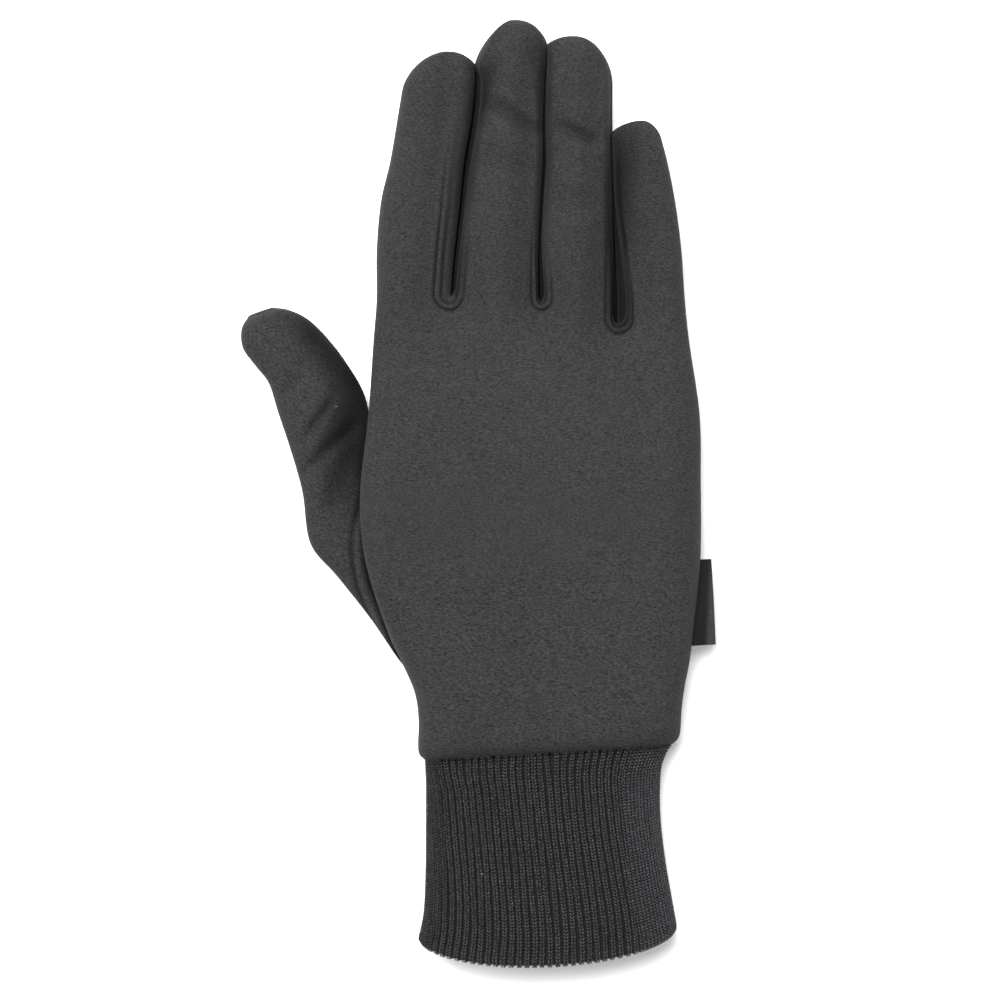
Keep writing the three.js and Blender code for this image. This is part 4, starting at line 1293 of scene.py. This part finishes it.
def leg_shape(mirror):
    sides = LEG_SIDES
    station = np.stack([LEG_STATIONS[key] for key in ("across", "up", "out")], -1)
    run = station[2] - station[1]
    run = run / np.linalg.norm(run)
    sideways = np.cross(run, (0, 0, 1))
    sideways /= np.linalg.norm(sideways)
    upright = np.cross(sideways, run)
    points = [station[0]]
    for k in (1, 2):
        for s in range(sides):
            swing = 2 * math.pi * (s + 0.25) / sides
            spoke = math.cos(swing) * sideways + 0.9 * math.sin(swing) * upright
            points.append(station[k] + LEG_STATIONS["thick"][k] * spoke)
    points = np.array([*points, station[3]])
    faces = []
    for s in range(sides):
        t = (s + 1) % sides
        faces += [(0, 1 + t, 1 + s), (1 + s, 1 + t, 1 + sides + t)]
        faces += [(1 + s, 1 + sides + t, 1 + sides + s)]
        faces += [(1 + sides + s, 1 + sides + t, 1 + 2 * sides)]
    if mirror:
        points = points * (-1, 1, 1)
    return points, facing_out(points, np.array(faces))


print("triangles in one leg:", len(leg_shape(False)[1]))

# %% All the legs
LEG_WANDER = 0.11
WANDER_STEP = 0.17
LEG_SINK = 0.09
LEG_SHADES = 0.07
LEFT_PAINTED_SHADE = 0.3
ribs_rng = np.random.default_rng(5)
rib_phase = np.repeat(ribs_rng.uniform(0, A_TURN, RIB_COUNT), RIB_COLUMNS)


def course_of_legs(shape, j, here, jitter):
    base, t_u, t_v, t_n = (grid[j, here] for grid in (cuff_points, around, upwards, outwards))
    n = len(here)
    wander = LEG_WANDER * np.sin(WANDER_STEP * j + rib_phase[here]) + jitter.normal(0, 0.02, n)
    local = shape[None] * (1 + jitter.normal(0, 0.06, (n, 1, 1)))
    local = local + np.stack([wander, jitter.normal(0, 0.03, n), np.zeros(n)], -1)[:, None]
    placed = base[:, None] + local[..., :1] * t_u[:, None]
    placed = placed + local[..., 1:2] * COURSE * t_v[:, None]
    placed = placed + (local[..., 2:] - LEG_SINK) * t_n[:, None]
    # Legs near the cuff's left edge get painted shade; each leg also gets a random tone of its own.
    at_edge = np.clip((left_edge[j, 0] + 6.5 - base[:, 0]) / 2.5, 0, 1)
    shade = LEFT_PAINTED_SHADE * at_edge - jitter.normal(0, LEG_SHADES, n)
    return placed.reshape(-1, 3), np.repeat(shade, len(shape))


def cuff_stitches(columns):
    all_points, all_faces, all_shades, count = [], [], [], 0
    jitter = np.random.default_rng(23)
    here = columns * RIB_COLUMNS
    for mirror in (False, True):
        shape, faces = leg_shape(mirror)
        for j in range(courses + 3):
            points, shades = course_of_legs(shape, j, here, jitter)
            starts = count + np.arange(len(here)) * len(shape)
            all_points.append(points)
            all_shades.append(shades)
            all_faces.append((faces[None] + starts[:, None, None]).reshape(-1, 3))
            count += len(points)
    return np.concatenate(all_points), np.concatenate(all_faces), np.concatenate(all_shades)


# %% The cuff's finish and pieces
def yarn_material(name, cool, warm, contrast, fade):
    return cloth_material(
        name, cool, warm, contrast, bump=(0.3, 0.0002), specular=0.2, sheen=(fade, 0.5)
    )


# The legs and the ground are lit and shaded copies of one yarn: the ground is painted ten times
# darker, painted shade for the hollows between the ribs and under the stitches.
YARN_COOL, YARN_WARM = (0.0345, 0.0355, 0.039), (0.036, 0.036, 0.039)
GROUND_SHADED_COOL, GROUND_SHADED_WARM = (0.0034, 0.0035, 0.004), (0.0038, 0.0037, 0.004)
yarn_finish = yarn_material("cuff_yarn", YARN_COOL, YARN_WARM, 1.3, 0.03)
shaded_ground_finish = yarn_material("cuff_ground_yarn_shaded", GROUND_SHADED_COOL, GROUND_SHADED_WARM, 0.6, 0.0)
make_piece("cuff_ground", ground_flat, cuff_faces, shaded_ground_finish, "cuff_knit", "rib_cuff")
upper = np.arange(0, RIB_COUNT // 2 + 2)
under = np.arange(RIB_COUNT // 2 + 2, RIB_COUNT)
for name, columns in (("cuff_stitches_upper", upper), ("cuff_stitches_under", under)):
    points, faces, shade = cuff_stitches(columns)
    make_piece(name, points, faces, yarn_finish, "cuff_knit", "rib_cuff", shade=shade)

# %% [markdown]
# ## Fuzz at the wrist, and lint
# The shell's raw edge is brushed, so short fibres stick out over the cuff all along the seam, and
# a few stray fibres cling to the thumb, the palm and the ribs. Each fibre is a thin three-sided
# thread that bends once or twice. Real threads catch the light at the edge as no texture does.

# %% Threads along chosen paths
FUZZ_SIDES = 3
fuzz_rng = np.random.default_rng(41)


def thread(path, thick):
    run = np.gradient(path, axis=0)
    run /= np.linalg.norm(run, axis=1, keepdims=True)
    sideways = np.cross(run, (0.1, 0.2, 1))
    sideways /= np.linalg.norm(sideways, axis=1, keepdims=True)
    upright = np.cross(sideways, run)
    n, points, faces = len(path), [], []
    radius = thick * (1 - 0.8 * np.linspace(-1, 1, n) ** 4)
    for s in range(FUZZ_SIDES):
        swing = 2 * math.pi * s / FUZZ_SIDES
        spoke = math.cos(swing) * sideways + math.sin(swing) * upright
        points.append(path + radius[:, None] * spoke)
    for s in range(FUZZ_SIDES):
        t = (s + 1) % FUZZ_SIDES
        for k in range(n - 1):
            faces += [(s * n + k, t * n + k, t * n + k + 1)]
            faces += [(s * n + k, t * n + k + 1, s * n + k + 1)]
    faces += [(0, 2 * n, n), (n - 1, 2 * n - 1, 3 * n - 1)]
    return np.concatenate(points), np.array(faces)


def threads_piece(name, threads, finish, slot, *nodes):
    starts = np.cumsum([0] + [len(points) for points, _ in threads[:-1]])
    points = np.concatenate([points for points, _ in threads])
    faces = np.concatenate([faces + start for (_, faces), start in zip(threads, starts)])
    return make_piece(name, points, faces, finish, slot, *nodes)


def curl(start, heading, length, rise, count=5):
    steps = [np.array(start, float)]
    for _ in range(count - 1):
        heading += fuzz_rng.normal(0, 0.45)
        step = (math.cos(heading), math.sin(heading), rise * fuzz_rng.normal(0.2, 0.6))
        steps.append(steps[-1] + np.array(step) * length / (count - 1))
    return np.array(steps)


# %% Fuzz along the wrist seam
FUZZ_COUNT = 520
FUZZ_THICK = 0.045
FUZZ_LENGTHS = (0.7, 2.1)
FUZZ_RISE = -0.35
hem_loop = ring([0, 1, 2, 3], 0.0015)[0]
hem_top = hem_loop[hem_loop[:, 2] > 6]
hem_top = hem_top[np.argsort(hem_top[:, 0])]
fuzz = []
for x in fuzz_rng.uniform(hem_top[0, 0] + 0.5, hem_top[-1, 0] - 0.5, FUZZ_COUNT):
    y, z = (np.interp(x, hem_top[:, 0], hem_top[:, k]) for k in (1, 2))
    start = (x, y + fuzz_rng.uniform(0.0, 0.8), z + 0.05)
    heading = -math.pi / 2 + fuzz_rng.normal(0, 0.6)
    length = fuzz_rng.uniform(*FUZZ_LENGTHS)
    fuzz.append(thread(curl(start, heading, length, FUZZ_RISE), FUZZ_THICK))
fuzz_finish = yarn_material("wrist_fuzz", SHELL_COOL, SHELL_WARM, 0.6, 0.03)
threads_piece("wrist_fuzz", fuzz, fuzz_finish, "shell_cloth", "hand_shell")

# %% Lint on the cloth
LINT = [
    (-55.7, 37.2, 0.6, thumb_points), (-14.8, -92.6, 0.5, cuff_points.reshape(-1, 3)),
    (-43.5, 16.2, 0.22, hand_points),
]
LINT_THICK = 0.08
LINT_LIFT = 0.12
LINT_ABOUT = 0.9
lint = []
for x, y, length, cloth in LINT:
    near = np.hypot(cloth[:, 0] - x, cloth[:, 1] - y) < LINT_ABOUT
    start = (x, y, cloth[near, 2].max() + LINT_LIFT)
    for _ in range(2):
        lint.append(thread(curl(start, fuzz_rng.uniform(0, A_TURN), length, 0.1), LINT_THICK))
lint_finish = yarn_material("pale_lint", (0.2, 0.2, 0.2), (0.24, 0.23, 0.22), 0.5, 0.05)
threads_piece("lint", lint, lint_finish, None, "hand_shell", "thumb", "rib_cuff")

# %% [markdown]
# ## The side label
# A black woven tape is folded into a loop and caught in the side seam. Its face is left bare. It
# is drawn as a strip that goes out, turns round a tight fold and comes back, with the tape's
# thickness, a slight bow along its length and a woven satin finish.

# %% The label's tape
LABEL_LENGTH = 24
LABEL_REACH = 9.5
LABEL_TAPE = 0.38
LABEL_FOLD = 0.55
LABEL_TURN = 3
LABEL_TOP = 0.262
LABEL_ROWS = 60
LABEL_STEPS = 16
FOLD_STEPS = 15
LABEL_BOW = 0.35
LABEL_RIPPLE = 0.12
LABEL_TILT = 8
LABEL_TUCKED = 0.55
LABEL_LIFT = 0.8


def label_strip():
    radius = (LABEL_FOLD + LABEL_TAPE) / 2
    flat = LABEL_REACH - radius - LABEL_TAPE / 2
    out = np.linspace(0, flat, LABEL_STEPS)
    swing = np.linspace(-math.pi / 2, math.pi / 2, FOLD_STEPS)[1:-1]
    face = np.full(LABEL_STEPS, radius)
    x = np.concatenate([out, flat + radius * np.cos(swing), out[::-1]])
    z = np.concatenate([-face, radius * np.sin(swing), face])
    run = np.gradient(np.stack([x, z], -1), axis=0)
    run /= np.linalg.norm(run, axis=1, keepdims=True)
    normal = np.stack([run[:, 1], -run[:, 0]], -1)
    return x, z, normal, float(np.hypot(np.diff(x), np.diff(z)).sum())


def label_loop(s, x, z, normal):
    bow = LABEL_BOW * math.sin(math.pi * s) * (x / LABEL_REACH)
    bow = bow + LABEL_RIPPLE * math.sin(3.1 * s + 0.6) * (x / LABEL_REACH)
    loop = []
    for sign in (0.5, -0.5):
        px = x + sign * LABEL_TAPE * normal[:, 0]
        pz = z + sign * LABEL_TAPE * normal[:, 1] + bow
        side = np.stack([px, np.full_like(px, -LABEL_LENGTH * s), pz], -1)
        loop.append(side if sign > 0 else side[::-1])
    return np.concatenate(loop)


def end_faces(start, n, reverse):
    faces = []
    for k in range(n - 1):
        quad = [start + k, start + k + 1, start + 2 * n - 2 - k, start + 2 * n - 1 - k]
        quad = quad[::-1] if reverse else quad
        faces += [(quad[0], quad[1], quad[2]), (quad[0], quad[2], quad[3])]
    return np.array(faces)


def turned(a, b, degrees):
    swing = math.radians(degrees)
    return a * math.cos(swing) - b * math.sin(swing), a * math.sin(swing) + b * math.cos(swing)


# %% The label in its place
def label_mesh():
    x, z, normal, path = label_strip()
    loops = [label_loop(s, x, z, normal) for s in np.linspace(0, 1, LABEL_ROWS)]
    skin = Skin()
    skin.loft(loops, [np.full(len(loops[0]), SHELL)] * len(loops))
    n = len(x)
    last = (LABEL_ROWS - 1) * 2 * n
    faces = np.concatenate([*skin.triangles, end_faces(0, n, False), end_faces(last, n, True)])
    px, py, pz = np.concatenate(loops).T
    px, pz = turned(px, pz, -LABEL_TILT)
    px, py = turned(px, py, LABEL_TURN)
    seat = float(outer_right(LABEL_TOP - 0.5 * LABEL_LENGTH / HAND_LENGTH))
    moved = np.stack([
        px + PALM_WIDTH * seat - LABEL_TUCKED * LABEL_REACH,
        py + y_at(LABEL_TOP),
        pz + float(side_height(LABEL_TOP, False)) + LABEL_LIFT,
    ], -1)
    return moved, facing_out(moved, faces), path


# %% The label's satin, and the piece
SATIN_DARK = (0.003, 0.003, 0.0032, 1)
SATIN_LIGHT = (0.0065, 0.0065, 0.0068, 1)
FOLD_HIGHLIGHT = 4.0


def satin_material():
    material = bpy.data.materials.new("label_woven_satin")
    material.use_nodes = True
    tree = material.node_tree
    bsdf = tree.nodes["Principled BSDF"]
    place = add_node(tree, "ShaderNodeTexCoord").outputs["Object"]
    threads = noise_at(tree, place, 1.0, 1, (700, 6500, 700))
    cross = noise_at(tree, place, 1.0, 1, (5200, 900, 900))
    weave = math_node(tree, "ADD", threads, math_node(tree, "MULTIPLY", cross, 0.6))
    color = mixed(tree, ranged(tree, weave, 0.6, 1.0, 0, 1), SATIN_DARK, SATIN_LIGHT)
    link_bump(tree, weave, bsdf, 0.25, 0.0001)
    link_base_color(tree, color, bsdf)
    tree.links.new(ranged(tree, threads, 0.3, 0.7, 0.5, 0.66), bsdf.inputs["Roughness"])
    bsdf.inputs["Specular IOR Level"].default_value = 0.08
    return material


label_points, label_faces, label_path = label_mesh()
inwards, down_tape, _ = (label_points.max(0) - label_points).T
# The fold's edge gets a painted highlight: its colour is made lighter where the fold turns towards
# the light.
fold_painted_highlight = -FOLD_HIGHLIGHT * np.exp(-((inwards - 0.05 * down_tape) / 1.5) ** 4)
label = make_piece(
    "side_label_tape", label_points, label_faces, satin_material(), "label_satin", "side_label",
    shade=fold_painted_highlight,
)
print("label tape:", LABEL_LENGTH, "by", round(label_path, 2), "mm")

# %% [markdown]
# ## Floor, light and camera
# The photograph is a catalogue picture: straight down, on white, in soft light from everywhere
# with a little more from the upper left. A long lens keeps the edges of the glove upright. The
# camera hangs so that one pixel of a 1000 pixel picture is 0.28 mm at half the glove's height.

# %% The floor
FLOOR_HALF = 3.0
FLOOR_DROP = 0.0002
floor_mesh = bpy.data.meshes.new("floor")
signs = ((-1, -1), (1, -1), (1, 1), (-1, 1))
corners = [(FLOOR_HALF * a, FLOOR_HALF * b, -FLOOR_DROP) for a, b in signs]
floor_mesh.from_pydata(corners, [], [(0, 1, 2, 3)])
floor = bpy.data.objects.new("floor", floor_mesh)
bpy.context.scene.collection.objects.link(floor)
floor_finish = bpy.data.materials.new("pale_floor")
floor_finish.use_nodes = True
floor_bsdf = floor_finish.node_tree.nodes["Principled BSDF"]
floor_bsdf.inputs["Base Color"].default_value = (0.93, 0.93, 0.93, 1)
floor_bsdf.inputs["Roughness"].default_value = 0.9
floor_mesh.materials.append(floor_finish)


# %% Lights
def soft_box(name, place, size, power):
    light = bpy.data.lights.new(name, "AREA")
    light.shape = "SQUARE"
    light.size = size
    light.energy = power
    lamp = bpy.data.objects.new(name, light)
    lamp.location = place
    lamp.rotation_euler = (-Vector(place)).to_track_quat("-Z", "Y").to_euler()
    bpy.context.scene.collection.objects.link(lamp)


soft_box("soft_box_above", (-0.5, 0.95, 2.0), 1.6, 130)
soft_box("soft_box_front", (0.6, -1.6, 1.9), 1.2, 14)

world = bpy.data.worlds.new("studio")
world.use_nodes = True
world.node_tree.nodes["Background"].inputs["Color"].default_value = (1, 1, 1, 1)
world.node_tree.nodes["Background"].inputs["Strength"].default_value = 0.5
bpy.context.scene.world = world

# %% Camera
PIXEL = 0.28
PHOTO_HALF = 500
ORIGIN_PIXEL = (535, 540)
CAMERA_PLANE = 8
LENS = 150
SENSOR = 36
camera_data = bpy.data.cameras.new("camera")
camera_data.lens = LENS
camera_data.sensor_width = SENSOR
camera = bpy.data.objects.new("camera", camera_data)
distance = 2 * PHOTO_HALF * PIXEL * LENS / SENSOR
camera.location = (
    (PHOTO_HALF - ORIGIN_PIXEL[0]) * PIXEL * MM,
    (ORIGIN_PIXEL[1] - PHOTO_HALF) * PIXEL * MM,
    (CAMERA_PLANE + distance) * MM,
)
camera_data.clip_end = 50
bpy.context.scene.collection.objects.link(camera)
bpy.context.scene.camera = camera
bpy.context.scene.view_settings.view_transform = "Standard"
print("camera height:", round(camera.location.z, 3), "m")
